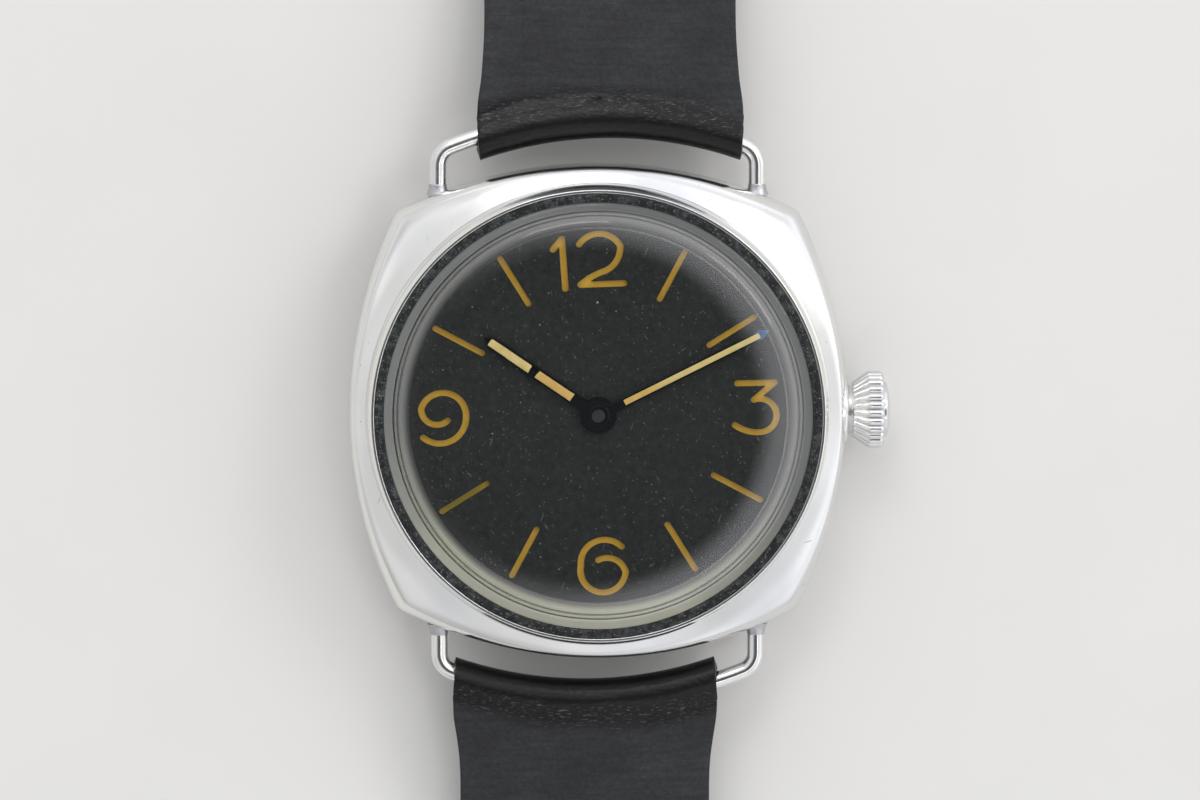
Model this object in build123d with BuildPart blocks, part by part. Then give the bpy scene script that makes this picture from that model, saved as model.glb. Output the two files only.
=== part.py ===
from build123d import *
import os
from math import atan2, cos, degrees, hypot, pi, radians, sin, sqrt

# Cushion case wristwatch, lying on its back with the strap halves open.
# X points to the crown, Y to twelve o'clock, Z out of the dial.
# The origin is the centre of the flat that the case back rests on.

os.makedirs("parts", exist_ok=True)

# Case
side_wall = 1.55
corner_wall = 4.95
case_bottom = 1.3
equator = 5.6
case_top = 9.6
foot_radius = 20.2
lower_height_share, lower_bulge_share = 0.45, 0.72
upper_height_share, upper_bulge_share = 0.52, 0.82
movement_bore = 18.45
bezel_seat_width = 1.0
overrun = 1.0

# Case back
back_thickness = 1.4
rest_radius = 14.5
back_rim_level = 0.7
back_thread_radius = 18.9
back_thread_clearance = 0.1
back_thread_depth = 1.4
back_skirt_wall = 0.9
gasket_radius = 19.7
gasket_height = 0.4
notch_count = 6
notch_width = 2.4
notch_depth = 0.45
notch_length = 2.2

# Bezel and crystal
bezel_height = 2.05
bezel_wall = 0.85
bezel_lip_width = 0.3
bezel_shoulder = 0.6
bezel_spigot = 0.45
bezel_belly_height_share, bezel_belly_share = 0.62, 0.22
spigot_wall = 0.7
spigot_clearance = 0.05
crystal_radius = 20.2
crystal_wall = 1.25
crystal_edge = 1.35
crystal_dome = 2.1
crystal_inner_dome = 1.5
crystal_inner_edge = 0.6
packing_height = 1.45
packing_width = 0.9
packing_dome = 0.12
flange_width = 2.4
flange_lip = 0.35

# Crown and stem
tube_radius = 2.3
tube_bore = 1.2
tube_inner_end = 20.6
tube_stand = 0.9
collar_radius = 3.3
collar_stand = 0.2
crown_gap = 0.07
crown_small_radius = 2.65
crown_radius = 3.65
crown_cone = 1.38
crown_band = 1.2
crown_cap = 0.7
crown_cap_step = 0.08
crown_recess_radius = 1.95
crown_recess_depth = 1.5
crown_stem_depth = 2.5
crown_flutes = 26
flute_radius = 0.29
flute_depth = 0.2
stem_radius = 0.75
stem_clearance = 0.05
stem_inner_end = 9.45
stem_pilot_radius = 0.5
stem_pilot_end = 10.4
stem_groove_radius = 0.45
stem_groove_width = 0.6
stem_groove_place = 16.45

# Wire lugs
wire_diameter = 1.6
lug_reach = 15.1
lug_leg = 5.5
bar_arch_radius = 37.6
lug_bend = 1.9
lug_foot_share = 0.813

# Movement levels, from the back up
bridge_face = 3.0
bridge_thickness = 1.2
train_gap = 2.3
plate_thickness = 1.8
plate_radius = 18.25
rim_width = 0.75
plate_flange_clearance = 0.25
plate_flange_height = 0.4
wheel_thickness = 0.3
fine_thickness = 0.2
headroom = 0.2
running = 0.05
recess_depth = 1.0
recess_margin = 0.25
pilot_block_length = 1.1
pilot_block_width = 2.2

# Bridges, the pillars under them and their screws
barrel_bridge_pillars = [(-3.5, 15.6), (14.6, 6.0)]
train_bridge_pillars = [(-14.3, 6.5), (-14.8, -7.0), (-1.6, -15.6)]
pillar_radius = 1.1
bridge_corner_share = 1.01
bridge_split_shares = [(-0.41, 1.01), (-0.12, -0.132)]
train_side_shares = [(0.104, -0.33), (0.104, -1.01)]
bridge_gap = 0.2
screw_radius = 0.45
screw_head_radius = 0.95
screw_head_height = 0.4
screw_depth = 1.3
screw_slot = 0.2

bridge_top = bridge_face + bridge_thickness
plate_bottom = bridge_top + train_gap
plate_top = plate_bottom + plate_thickness
recess_floor = plate_top - recess_depth

# Gear teeth: heights and half widths as shares of the module and of the pitch
tip_share, root_share = 0.95, 1.25
tip_half_share, root_half_share = 0.085, 0.2

# Barrel and its drive
barrel_teeth, centre_leaves = 79, 11
barrel_module = 0.2
barrel_angle = 62
barrel_wall = 0.5
barrel_floor = 0.25
barrel_cover_thickness = 0.25
barrel_height = 1.5
barrel_tooth_band = 0.35
barrel_flange = 0.4
arbor_core_radius = 1.6
arbor_radius = 0.7
arbor_square = 1.3
spring_thickness = 0.2
spring_pitch = 0.46
spring_margin = 0.12

# Train wheels
centre_teeth, third_leaves = 80, 10
centre_module = 0.15
third_teeth, fourth_leaves = 75, 10
third_module = 0.14
fourth_teeth, escape_leaves = 80, 8
fourth_module = 0.12
third_angle, fourth_angle, escape_angle = 190, -75, -10
pivot_radius = 0.15
arbor_thin = 0.35
centre_arbor = 0.4
jewel_radius = 0.75
jewel_height = 0.7
pinion_length = 0.55
wheel_rim_share = 0.84
wheel_hub_radius = 0.9
spoke_width = 0.55
spoke_count = 5
spoke_length_share = 1.2
third_headroom = 0.3

# Escapement and balance
escape_tooth_count = 15
escape_radius = 2.6
escape_root_radius = 1.95
escape_hub_radius = 0.7
escape_tooth_lean = 7
pallet_distance = 3.0
escapement_angle = -12
stone_angle = 30
stone_gap = 0.06
stone_length = 0.55
stone_width = 0.3
lever_width = 0.42
lever_length = 4.62
notch_gap = 0.04
fork_head_share = 0.55
roller_pin_reach = 0.9
roller_pin_radius = 0.12
roller_pin_overlap = 0.15
balance_distance = 5.4
balance_radius = 4.4
balance_rim = 0.5
balance_height = 0.5
balance_arm = 0.8
roller_radius = 1.1
roller_thickness = 0.17
staff_radius = 0.3
hairspring_inner = 0.6
hairspring_outer = 2.7
hairspring_pitch = 0.36
hairspring_thickness = 0.1
hairspring_height = 0.15
cock_thickness = 0.8
cock_face = 2.6
cock_foot_radius = 1.3
cock_foot = (4.5, -15.5)
cock_end_radius = 2.2
stud_radius = 0.2
pallet_cock_foot = (4.5, -5.35)
pallet_cock_radius = 0.65
pallet_cock_width = 1.1
pallet_cock_thickness = 0.5
regulator_radius = 1.5
regulator_bore = 0.85
regulator_thickness = 0.3
regulator_length = 4.2
regulator_width = 0.5
regulator_angle = 150

# Winding wheels
crown_wheel_teeth, ratchet_teeth, winding_teeth = 29, 36, 12
winding_module = 0.3
winding_wheel_thickness = 0.5
crown_wheel_tooth_rise = 0.3
winding_engagement = 0.2
winding_pinion_start, winding_pinion_length = 13.3, 1.9
sliding_pinion_start, sliding_pinion_length = 11.3, 1.75
sliding_pinion_radius = 1.2
window_gap = 0.25
core_radius = 1.5
core_head_radius = 1.9
click_angle = 130
click_gap = 1.75
click_radius = 0.95
click_beak_width = 0.8
click_bite = 0.03
click_spring_width = 0.25
click_pocket_radius = 2.9
setting_pivot = (15.0, -4.2)
setting_lever_radius = 0.8
setting_lever_thickness = 0.35
setting_lever_width = 0.8
setting_stud_radius = 0.2
setting_pocket_gap = 0.5

# Motion work
cannon_leaves, minute_teeth = 12, 36
motion_module = 0.2
minute_leaves, hour_teeth = 10, 40
setting_teeth = 18
minute_wheel_angle, setting_wheel_angle = -20, 10
motion_thickness = 0.25
cannon_level = 0.1
minute_level = 0.15
hour_level = 0.65
motion_post_radius = 0.4
cannon_pipe_radius = 0.8
cannon_tip_radius = 0.6
hour_pipe_wall = 0.25

# Dial
dial_clearance = 0.3
lume_plate_thickness = 0.4
dial_thickness = 0.4
lume_plate_inset = 0.7
dial_hole_radius = 1.35
dial_turn = 2.0
figure_stroke = 0.62
bar_stroke = 0.57
bar_length = 5.0
bar_margin = 0.5
dial_foot_radius = 0.4
dial_foot_length = 0.9
dial_foot_reach = 16.0
dial_foot_angle = 100

# Figures as shares of the bars' outer end
one_shares = [(-0.213, 0.905), (-0.163, 0.963), (-0.153, 0.69)]
two_top_shares = [(-0.07, 0.928), (0.041, 0.983), (0.152, 0.913)]
two_side_shares = [(0.152, 0.913), (0.124, 0.824), (0.045, 0.773)]
two_neck_shares = [(0.045, 0.773), (-0.018, 0.744), (-0.07, 0.708)]
two_foot_shares = [(-0.07, 0.708), (0.166, 0.708)]
three_flat_shares = [(0.761, 0.141), (0.964, 0.139), (0.848, 0.048)]
three_bowl_shares = [(0.848, 0.048), (0.968, -0.028), (0.877, -0.13)]
three_end_shares = [(0.877, -0.13), (0.801, -0.119), (0.74, -0.086)]
six_top_shares = [(0.103, -0.728), (-0.022, -0.69), (-0.123, -0.825)]
six_bowl_shares = [(-0.123, -0.825), (-0.011, -0.977), (0.12, -0.868)]
six_curl_shares = [(0.12, -0.868), (0.045, -0.79), (-0.026, -0.797)]
nine_curl_shares = [(-0.815, -0.004), (-0.891, -0.023), (-0.958, 0.065)]
nine_top_shares = [(-0.958, 0.065), (-0.836, 0.148), (-0.715, 0.015)]
nine_end_shares = [(-0.715, 0.015), (-0.839, -0.127), (-0.953, -0.093)]

# Hands
hour_hand_angle = 145.7
minute_hand_angle = 26.5
hand_thickness = 0.2
hand_gap = 0.4
hour_hub_radius = 1.75
minute_hub_radius = 1.3
hour_hand_width, hour_hand_reach = 1.25, 13.0
hour_lume_width = 0.79
hour_lume_runs = [(2.95, 6.95), (7.7, 12.35)]
minute_hand_width, minute_hand_reach = 0.92, 18.0
minute_lume_width = 0.52
minute_lume_runs = [(2.75, 16.9)]
hand_tip_length = 1.0

# Strap
strap_thickness = 2.2
fold_leather = 1.2
fold_gap = 0.1
fold_width = 24.9
strap_width = 23.8
strap_end_width = 22.0
strap_shift = 1.2
shoulder_run = 10.0
neck_run, neck_drop = 3.8, 0.3
ground_run = 18.8
neck_bend, ground_bend = 14.0, 26.0
buckle_half = 75.0
long_half = 115.0
tip_length = 14.0
hole_count = 7
hole_pitch = 7.0
hole_first = 24.0
hole_radius = 1.1

# Buckle and keepers
keeper_thickness = 1.2
keeper_length = 7.0
keeper_height = 4.6
keeper_side_gap = 0.3
keeper_clearance = 0.05
fixed_keeper_place = 10.5
free_keeper_place = 24.0
free_keeper_side_gap = 0.75
pin_radius = 0.9
pin_clearance = 0.05
loop_radius = 2.1
tongue_slot = 3.6
tongue_slot_length = 5.2
ear_radius = 2.05
ear_width = 2.2
ear_gap = 0.3
frame_length = 11.8
frame_bar = 2.8
frame_thickness = 2.3
frame_corner = 3.0
tongue_width = 2.0
tongue_ring_radius = 1.75
tongue_ring_width = 2.8
tongue_thickness = 1.1
tongue_clearance = 0.08
tongue_rest_gap = 0.05

bezel_lip_radius = crystal_radius + packing_width
bezel_radius = bezel_lip_radius + bezel_wall
side_reach = bezel_radius + side_wall
corner_reach = bezel_radius + corner_wall
dial_bore = crystal_radius - bezel_seat_width
spigot_radius = dial_bore + spigot_wall
flange_opening = crystal_radius - flange_width
plate_flange_radius = dial_bore - plate_flange_clearance
dial_radius = dial_bore - dial_clearance
lume_plate_radius = dial_radius - lume_plate_inset
bar_outer = flange_opening - bar_margin
bar_inner = bar_outer - bar_length
tube_outer_end = side_reach + tube_stand
collar_end = side_reach + collar_stand
thick_pivot_radius = 2 * pivot_radius
small_screw_radius = screw_radius / 2
wire_radius = wire_diameter / 2
lug_foot = side_reach * lug_foot_share
lug_arch = bar_arch_radius - sqrt(bar_arch_radius**2 - lug_reach**2)
bar_reach = lug_foot + lug_leg + lug_arch
barrel_reach = barrel_module * (barrel_teeth + centre_leaves) / 2
dial_level = plate_top
lume_level = dial_level + lume_plate_thickness
dial_face = lume_level + dial_thickness
hour_hand_level = dial_face + hand_gap
minute_hand_level = hour_hand_level + hand_thickness + hand_gap / 2
crystal_seat = case_top + bezel_shoulder
crown_start = tube_outer_end + crown_gap
fold_radius = wire_radius + fold_gap + fold_leather
pin_level = loop_radius
pin_reach = bar_reach + buckle_half


def polar(origin, distance, angle):
    """Point at a distance and angle from another."""
    return (origin[0] + distance * cos(radians(angle)), origin[1] + distance * sin(radians(angle)))


def write_piece(piece, name):
    """Label a finished piece and write its file."""
    piece.part.label = name
    export_step(piece.part, f"parts/{name}.step")


def cushion(level, side, corner):
    """Closed outline of four shallow arcs that meet at the corners of a cushion."""
    with BuildSketch(Plane.XY.offset(level)) as outline:
        with BuildLine():
            for quarter in range(4):
                start = polar((0, 0), corner, 90 * quarter - 45)
                middle = polar((0, 0), side, 90 * quarter)
                end = polar((0, 0), corner, 90 * quarter + 45)
                ThreePointArc(start, middle, end)
        make_face()
    return outline.sketch


def turned(points):
    """Face in the XZ plane through points of radius and level, to be revolved."""
    with BuildSketch(Plane.XZ) as profile:
        with BuildLine():
            Polyline(*points, close=True)
        make_face()
    return profile.sketch


def post(place, bottom, top, radius, mode=Mode.ADD):
    """Round post, or hole, standing at a place between two levels."""
    with Locations((place[0], place[1], bottom)):
        Cylinder(radius, top - bottom, align=(Align.CENTER, Align.CENTER, Align.MIN), mode=mode)


def rod(place, start, end, radius, mode=Mode.ADD):
    """Round rod along X at a place in the YZ plane."""
    with BuildSketch(Plane.YZ.offset(start)) as end_face:
        with Locations(place):
            Circle(radius)
    extrude(end_face.sketch, amount=end - start, mode=mode)


def gear_face(place, level, teeth, module, phase, bore):
    """Toothed disc face: straight-sided teeth, one of them pointing at the phase angle."""
    pitch_radius = module * teeth / 2
    tip, root = pitch_radius + tip_share * module, pitch_radius - root_share * module
    corners = [
        (root, -root_half_share),
        (tip, -tip_half_share),
        (tip, tip_half_share),
        (root, root_half_share),
    ]
    step = 360 / teeth
    outline = [
        polar((0, 0), reach, phase + step * (tooth + share))
        for tooth in range(teeth)
        for reach, share in corners
    ]
    with BuildSketch(Plane((place[0], place[1], level))) as face:
        with BuildLine():
            Polyline(*outline, close=True)
        make_face()
        Circle(bore, mode=Mode.SUBTRACT)
    return face.sketch


def meshing_phase(phase, teeth, direction, other_teeth):
    """Phase of a gear that meshes with another lying in the given direction from it."""
    ahead = (direction - phase) * teeth / 360
    return direction + 180 + (ahead - 0.5) * 360 / other_teeth


def spokes(place, level, thickness, rim_radius, hub_radius, phase):
    """Cut the windows between the spokes of a wheel."""
    with BuildSketch(Plane((place[0], place[1], level))) as windows:
        Circle(rim_radius)
        Circle(hub_radius, mode=Mode.SUBTRACT)
        with PolarLocations(rim_radius / 2, spoke_count, phase):
            Rectangle(rim_radius * spoke_length_share, spoke_width, mode=Mode.SUBTRACT)
    extrude(windows.sketch, amount=thickness, mode=Mode.SUBTRACT)


def stroke(points, width):
    """Rounded pen stroke along straight runs."""
    for start, end in zip(points, points[1:]):
        with BuildLine() as line:
            Line(start, end)
        trace(line.line, line_width=width)
    with Locations(*points):
        Circle(width / 2)


def arc_stroke(start, middle, end, width):
    """Rounded pen stroke along one arc."""
    with BuildLine() as line:
        ThreePointArc(start, middle, end)
    trace(line.line, line_width=width)
    with Locations(start, end):
        Circle(width / 2)


def spiral_face(place, level, inner, outer, pitch, thickness):
    """Spiral strip of tangent half circles, from the inner radius to the outer."""
    halves = int((outer - inner) / (pitch / 2))
    with BuildSketch(Plane((place[0], place[1], level))) as strip:
        with BuildLine():
            for side in (-1, 1):
                for half in range(halves):
                    centre = (0, 0) if half % 2 == 0 else (pitch / 2, 0)
                    radius = inner + half * pitch / 2 + side * thickness / 2
                    CenterArc(centre, radius, 180 * (half % 2), 180)
            Line((inner - thickness / 2, 0), (inner + thickness / 2, 0))
            last = inner + (halves - 1) * pitch / 2
            flip = 1 if halves % 2 == 0 else -1
            base = pitch / 2 if halves % 2 == 0 else 0
            Line((base + flip * (last - thickness / 2), 0), (base + flip * (last + thickness / 2), 0))
        make_face()
    return strip.sketch


# Places of the wheels, seen from the dial side
centre = (0, 0)
barrel = polar(centre, barrel_reach, barrel_angle)
third = polar(centre, centre_module * (centre_teeth + third_leaves) / 2, third_angle)
fourth = polar(third, third_module * (third_teeth + fourth_leaves) / 2, fourth_angle)
escape = polar(fourth, fourth_module * (fourth_teeth + escape_leaves) / 2, escape_angle)
pallet = polar(escape, pallet_distance, escapement_angle)
balance = polar(pallet, balance_distance, escapement_angle)
crown_wheel_radius = winding_module * crown_wheel_teeth / 2
winding_span = winding_module * (crown_wheel_teeth + ratchet_teeth) / 2
crown_wheel_place = (barrel[0] + sqrt(winding_span**2 - barrel[1] ** 2), 0)
click_place = polar(barrel, winding_module * ratchet_teeth / 2 + click_gap, click_angle)
minute_place = polar(centre, motion_module * (cannon_leaves + minute_teeth) / 2, minute_wheel_angle)
setting_place = polar(minute_place, motion_module * (minute_teeth + setting_teeth) / 2, setting_wheel_angle)
jewel_places = [third, fourth, escape, pallet]

# Case middle: one solid cushion, bored from both sides
with BuildPart() as case_middle:
    loft(
        [
            cushion(case_bottom, foot_radius, foot_radius),
            cushion(
                case_bottom + (equator - case_bottom) * lower_height_share,
                foot_radius + (side_reach - foot_radius) * lower_bulge_share,
                foot_radius + (corner_reach - foot_radius) * lower_bulge_share,
            ),
            cushion(equator, side_reach, corner_reach),
            cushion(
                equator + (case_top - equator) * upper_height_share,
                bezel_radius + (side_reach - bezel_radius) * upper_bulge_share,
                bezel_radius + (corner_reach - bezel_radius) * upper_bulge_share,
            ),
            cushion(case_top, bezel_radius, bezel_radius),
        ]
    )
    rod((0, equator), tube_inner_end, collar_end, collar_radius)
    back_bore = back_thread_radius + back_thread_clearance
    flange_seat = plate_top - plate_flange_height
    revolve(
        turned(
            [
                (0, case_bottom - overrun),
                (gasket_radius, case_bottom - overrun),
                (gasket_radius, case_bottom + gasket_height),
                (back_bore, case_bottom + gasket_height),
                (back_bore, case_bottom + back_thread_depth + back_thread_clearance),
                (movement_bore, case_bottom + back_thread_depth + back_thread_clearance),
                (movement_bore, flange_seat),
                (dial_bore, flange_seat),
                (dial_bore, case_top - bezel_spigot),
                (spigot_radius + spigot_clearance, case_top - bezel_spigot),
                (spigot_radius + spigot_clearance, case_top + overrun),
                (0, case_top + overrun),
            ]
        ),
        axis=Axis.Z,
        mode=Mode.SUBTRACT,
    )
    rod((0, equator), tube_inner_end, collar_end + overrun, tube_radius, Mode.SUBTRACT)
    rod((0, equator), movement_bore - overrun, tube_inner_end, tube_bore, Mode.SUBTRACT)
    for side in (-1, 1):
        for end in (-1, 1):
            with BuildSketch(Plane((end * lug_reach, side * lug_foot, equator), z_dir=(0, side, 0))) as hole:
                Circle(wire_radius)
            extrude(hole.sketch, amount=corner_reach - lug_foot, mode=Mode.SUBTRACT)
write_piece(case_middle, "case_middle")

# Case back: turned disc with a threaded skirt and six key notches
with BuildPart() as case_back:
    skirt_inner = back_thread_radius - back_skirt_wall
    revolve(
        turned(
            [
                (0, 0),
                (rest_radius, 0),
                (foot_radius, back_rim_level),
                (foot_radius, case_bottom),
                (back_thread_radius, case_bottom),
                (back_thread_radius, case_bottom + back_thread_depth),
                (skirt_inner, case_bottom + back_thread_depth),
                (skirt_inner, back_thickness),
                (0, back_thickness),
            ]
        ),
        axis=Axis.Z,
    )
    with BuildSketch() as notches:
        with PolarLocations(foot_radius - notch_length / 2, notch_count):
            Rectangle(notch_length, notch_width)
    extrude(notches.sketch, amount=back_rim_level + notch_depth / 2, mode=Mode.SUBTRACT)
write_piece(case_back, "case_back")

with BuildPart() as back_gasket:
    gasket_inner = back_thread_radius + running
    revolve(
        turned(
            [
                (gasket_inner, case_bottom),
                (gasket_radius, case_bottom),
                (gasket_radius, case_bottom + gasket_height),
                (gasket_inner, case_bottom + gasket_height),
            ]
        ),
        axis=Axis.Z,
    )
write_piece(back_gasket, "back_gasket")

# Bezel: ring with a spigot in the case and a shoulder under the crystal
with BuildPart() as bezel:
    bezel_top = case_top + bezel_height
    with BuildSketch(Plane.XZ) as bezel_section:
        with BuildLine():
            Polyline(
                (bezel_lip_radius + bezel_lip_width, bezel_top),
                (bezel_lip_radius, bezel_top),
                (bezel_lip_radius, crystal_seat),
                (dial_bore + running, crystal_seat),
                (dial_bore + running, case_top - bezel_spigot),
                (spigot_radius, case_top - bezel_spigot),
                (spigot_radius, case_top),
                (bezel_radius, case_top),
            )
            middle_height = case_top + bezel_height * bezel_belly_height_share
            bezel_slope = bezel_radius - bezel_lip_radius - bezel_lip_width
            middle_radius = bezel_radius - bezel_slope * bezel_belly_share
            ThreePointArc(
                (bezel_radius, case_top),
                (middle_radius, middle_height),
                (bezel_lip_radius + bezel_lip_width, bezel_top),
            )
        make_face()
    revolve(axis=Axis.Z)
write_piece(bezel, "bezel")

# Packing ring between bezel and crystal
with BuildPart() as crystal_gasket:
    with BuildSketch(Plane.XZ) as packing_section:
        with BuildLine():
            packing_top = crystal_seat + packing_height
            Polyline(
                (bezel_lip_radius, packing_top),
                (bezel_lip_radius, crystal_seat),
                (crystal_radius, crystal_seat),
                (crystal_radius, packing_top),
            )
            packing_middle = (bezel_lip_radius + crystal_radius) / 2
            ThreePointArc(
                (crystal_radius, packing_top),
                (packing_middle, packing_top + packing_dome),
                (bezel_lip_radius, packing_top),
            )
        make_face()
    revolve(axis=Axis.Z)
write_piece(crystal_gasket, "crystal_gasket")

# Domed crystal with a thick upright edge
with BuildPart() as crystal:
    with BuildSketch(Plane.XZ) as crystal_section:
        with BuildLine():
            edge_top = crystal_seat + crystal_edge
            inner_radius = crystal_radius - crystal_wall
            inner_top = crystal_seat + crystal_inner_edge
            outer_arc = RadiusArc(
                (0, edge_top + crystal_dome),
                (crystal_radius, edge_top),
                (crystal_radius**2 + crystal_dome**2) / (2 * crystal_dome),
            )
            Line((crystal_radius, edge_top), (crystal_radius, crystal_seat))
            Line((crystal_radius, crystal_seat), (inner_radius, crystal_seat))
            Line((inner_radius, crystal_seat), (inner_radius, inner_top))
            RadiusArc(
                (0, inner_top + crystal_inner_dome),
                (inner_radius, inner_top),
                (inner_radius**2 + crystal_inner_dome**2) / (2 * crystal_inner_dome),
            )
            Line((0, inner_top + crystal_inner_dome), (0, edge_top + crystal_dome))
        make_face()
    revolve(axis=Axis.Z)
write_piece(crystal, "crystal")

# Dial flange: pale sloping ring that holds the dial down
with BuildPart() as dial_flange:
    revolve(
        turned(
            [
                (flange_opening, dial_face),
                (dial_bore - running, dial_face),
                (dial_bore - running, crystal_seat),
                (crystal_radius - crystal_wall - flange_lip, crystal_seat),
                (flange_opening, dial_face + flange_lip),
            ]
        ),
        axis=Axis.Z,
    )
write_piece(dial_flange, "dial_flange")

# Crown tube, pressed in the case wall, with a thin neck inside the crown
with BuildPart() as crown_tube:
    rod((0, equator), tube_inner_end, tube_outer_end, tube_radius)
    neck_radius = (tube_bore + crown_recess_radius) / 2
    neck_end = crown_start + crown_recess_depth - 2 * stem_clearance - crown_gap
    rod((0, equator), tube_outer_end, neck_end, neck_radius)
    rod((0, equator), tube_inner_end - overrun, crown_start + crown_recess_depth, tube_bore, Mode.SUBTRACT)
write_piece(crown_tube, "crown_tube")

# Crown: cone, fluted band and plain domed cap, turned about X
with BuildPart() as crown:
    cone_end = crown_start + crown_cone
    band_end = cone_end + crown_band
    crown_end = band_end + crown_cap_step + crown_cap
    recess_end = crown_start + crown_recess_depth
    stem_seat = crown_start + crown_stem_depth + stem_clearance
    stem_bore = stem_radius + stem_clearance
    cap_start = band_end + crown_cap_step
    with BuildSketch(Plane((0, 0, equator), x_dir=(1, 0, 0), z_dir=(0, -1, 0))) as crown_section:
        with BuildLine():
            cap_radius = (crown_small_radius**2 + crown_cap**2) / (2 * crown_cap)
            RadiusArc((cap_start, crown_small_radius), (crown_end, 0), cap_radius)
            Polyline(
                (crown_end, 0),
                (stem_seat, 0),
                (stem_seat, stem_bore),
                (recess_end, stem_bore),
                (recess_end, crown_recess_radius),
                (crown_start, crown_recess_radius),
                (crown_start, crown_small_radius),
                (cone_end, crown_radius),
                (band_end, crown_radius),
                (cap_start, crown_radius - crown_cap_step),
                (cap_start, crown_small_radius),
            )
        make_face()
    revolve(crown_section.sketch, axis=Axis((0, 0, equator), (1, 0, 0)))
    with BuildSketch(Plane((crown_start, 0, equator), x_dir=(0, 1, 0), z_dir=(1, 0, 0))) as flutes:
        with PolarLocations(crown_radius + flute_radius - flute_depth, crown_flutes):
            Circle(flute_radius)
    extrude(flutes.sketch, amount=crown_cone + crown_band + crown_cap_step, mode=Mode.SUBTRACT)
write_piece(crown, "crown")

with BuildPart() as crown_gasket:
    gasket_start = crown_start + crown_recess_depth / 3
    gasket_end = crown_start + crown_recess_depth * 2 / 3
    rod((0, equator), gasket_start, gasket_end, crown_recess_radius)
    rod((0, equator), gasket_start - overrun, gasket_end + overrun, neck_radius + running, Mode.SUBTRACT)
write_piece(crown_gasket, "crown_gasket")

# Winding stem: pilot, round shank and the groove for the setting lever
with BuildPart() as winding_stem:
    rod((0, equator), stem_inner_end, stem_pilot_end, stem_pilot_radius)
    rod((0, equator), stem_pilot_end, stem_groove_place - stem_groove_width / 2, stem_radius)
    rod(
        (0, equator),
        stem_groove_place - stem_groove_width / 2,
        stem_groove_place + stem_groove_width / 2,
        stem_groove_radius,
    )
    rod((0, equator), stem_groove_place + stem_groove_width / 2, crown_start + crown_stem_depth, stem_radius)
write_piece(winding_stem, "winding_stem")


def build_lug(side, name):
    """Wire lug: two legs in the case wall and an arched crossbar."""
    with BuildPart() as lug:
        with BuildLine(Plane.XY.offset(equator)) as route:
            right = (lug_reach, side * (bar_reach - lug_arch))
            left = (-lug_reach, side * (bar_reach - lug_arch))
            Line((lug_reach, side * lug_foot), right)
            ThreePointArc(right, (0, side * bar_reach), left)
            Line(left, (-lug_reach, side * lug_foot))
            corners = [v for v in route.vertices() if abs(abs(v.Y) - bar_reach + lug_arch) < wire_radius / 2]
            fillet(corners, lug_bend)
        with BuildSketch(Plane((lug_reach, side * lug_foot, equator), z_dir=(0, side, 0))):
            Circle(wire_radius)
        sweep()
    write_piece(lug, name)


build_lug(1, "wire_lug_12")
build_lug(-1, "wire_lug_6")


def dial_bars():
    """The eight bars between the figures, as rounded slots."""
    for hour in (1, 2, 4, 5, 7, 8, 10, 11):
        angle = 90 - 30 * hour
        stroke([polar((0, 0), bar_inner, angle), polar((0, 0), bar_outer, angle)], bar_stroke)


def scaled(points):
    """Places on the dial, given as shares of the outer end of the bars."""
    return [(x * bar_outer, y * bar_outer) for x, y in points]


with BuildSketch(Plane.XY.offset(lume_level)) as dial_cuts:
    for run_shares in (one_shares, two_foot_shares, three_flat_shares):
        stroke(scaled(run_shares), figure_stroke)
    for arc_shares in (
        two_top_shares,
        two_side_shares,
        two_neck_shares,
        three_bowl_shares,
        three_end_shares,
        six_top_shares,
        six_bowl_shares,
        six_curl_shares,
        nine_curl_shares,
        nine_top_shares,
        nine_end_shares,
    ):
        arc_stroke(*scaled(arc_shares), figure_stroke)
    dial_bars()

# Upper dial: black plate with the figures and bars cut through
with BuildPart() as dial_plate:
    with BuildSketch(Plane.XY.offset(lume_level)) as dial_face_sketch:
        Circle(dial_radius)
        Circle(dial_hole_radius, mode=Mode.SUBTRACT)
        flat_cuts = dial_cuts.sketch.moved(Location((0, 0, -lume_level)))
        add(flat_cuts.rotate(Axis.Z, dial_turn), mode=Mode.SUBTRACT)
    extrude(dial_face_sketch.sketch, amount=dial_thickness)
write_piece(dial_plate, "dial_plate")

# Lower dial: lume-coated plate with two feet in the main plate
dial_feet = [polar(centre, dial_foot_reach, dial_foot_angle + turn) for turn in (0, 180)]
with BuildPart() as lume_plate:
    post(centre, dial_level, lume_level, lume_plate_radius)
    post(centre, dial_level - overrun, lume_level + overrun, dial_hole_radius, Mode.SUBTRACT)
    for foot in dial_feet:
        post(foot, dial_level - dial_foot_length, dial_level, dial_foot_radius)
write_piece(lume_plate, "lume_plate")

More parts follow.
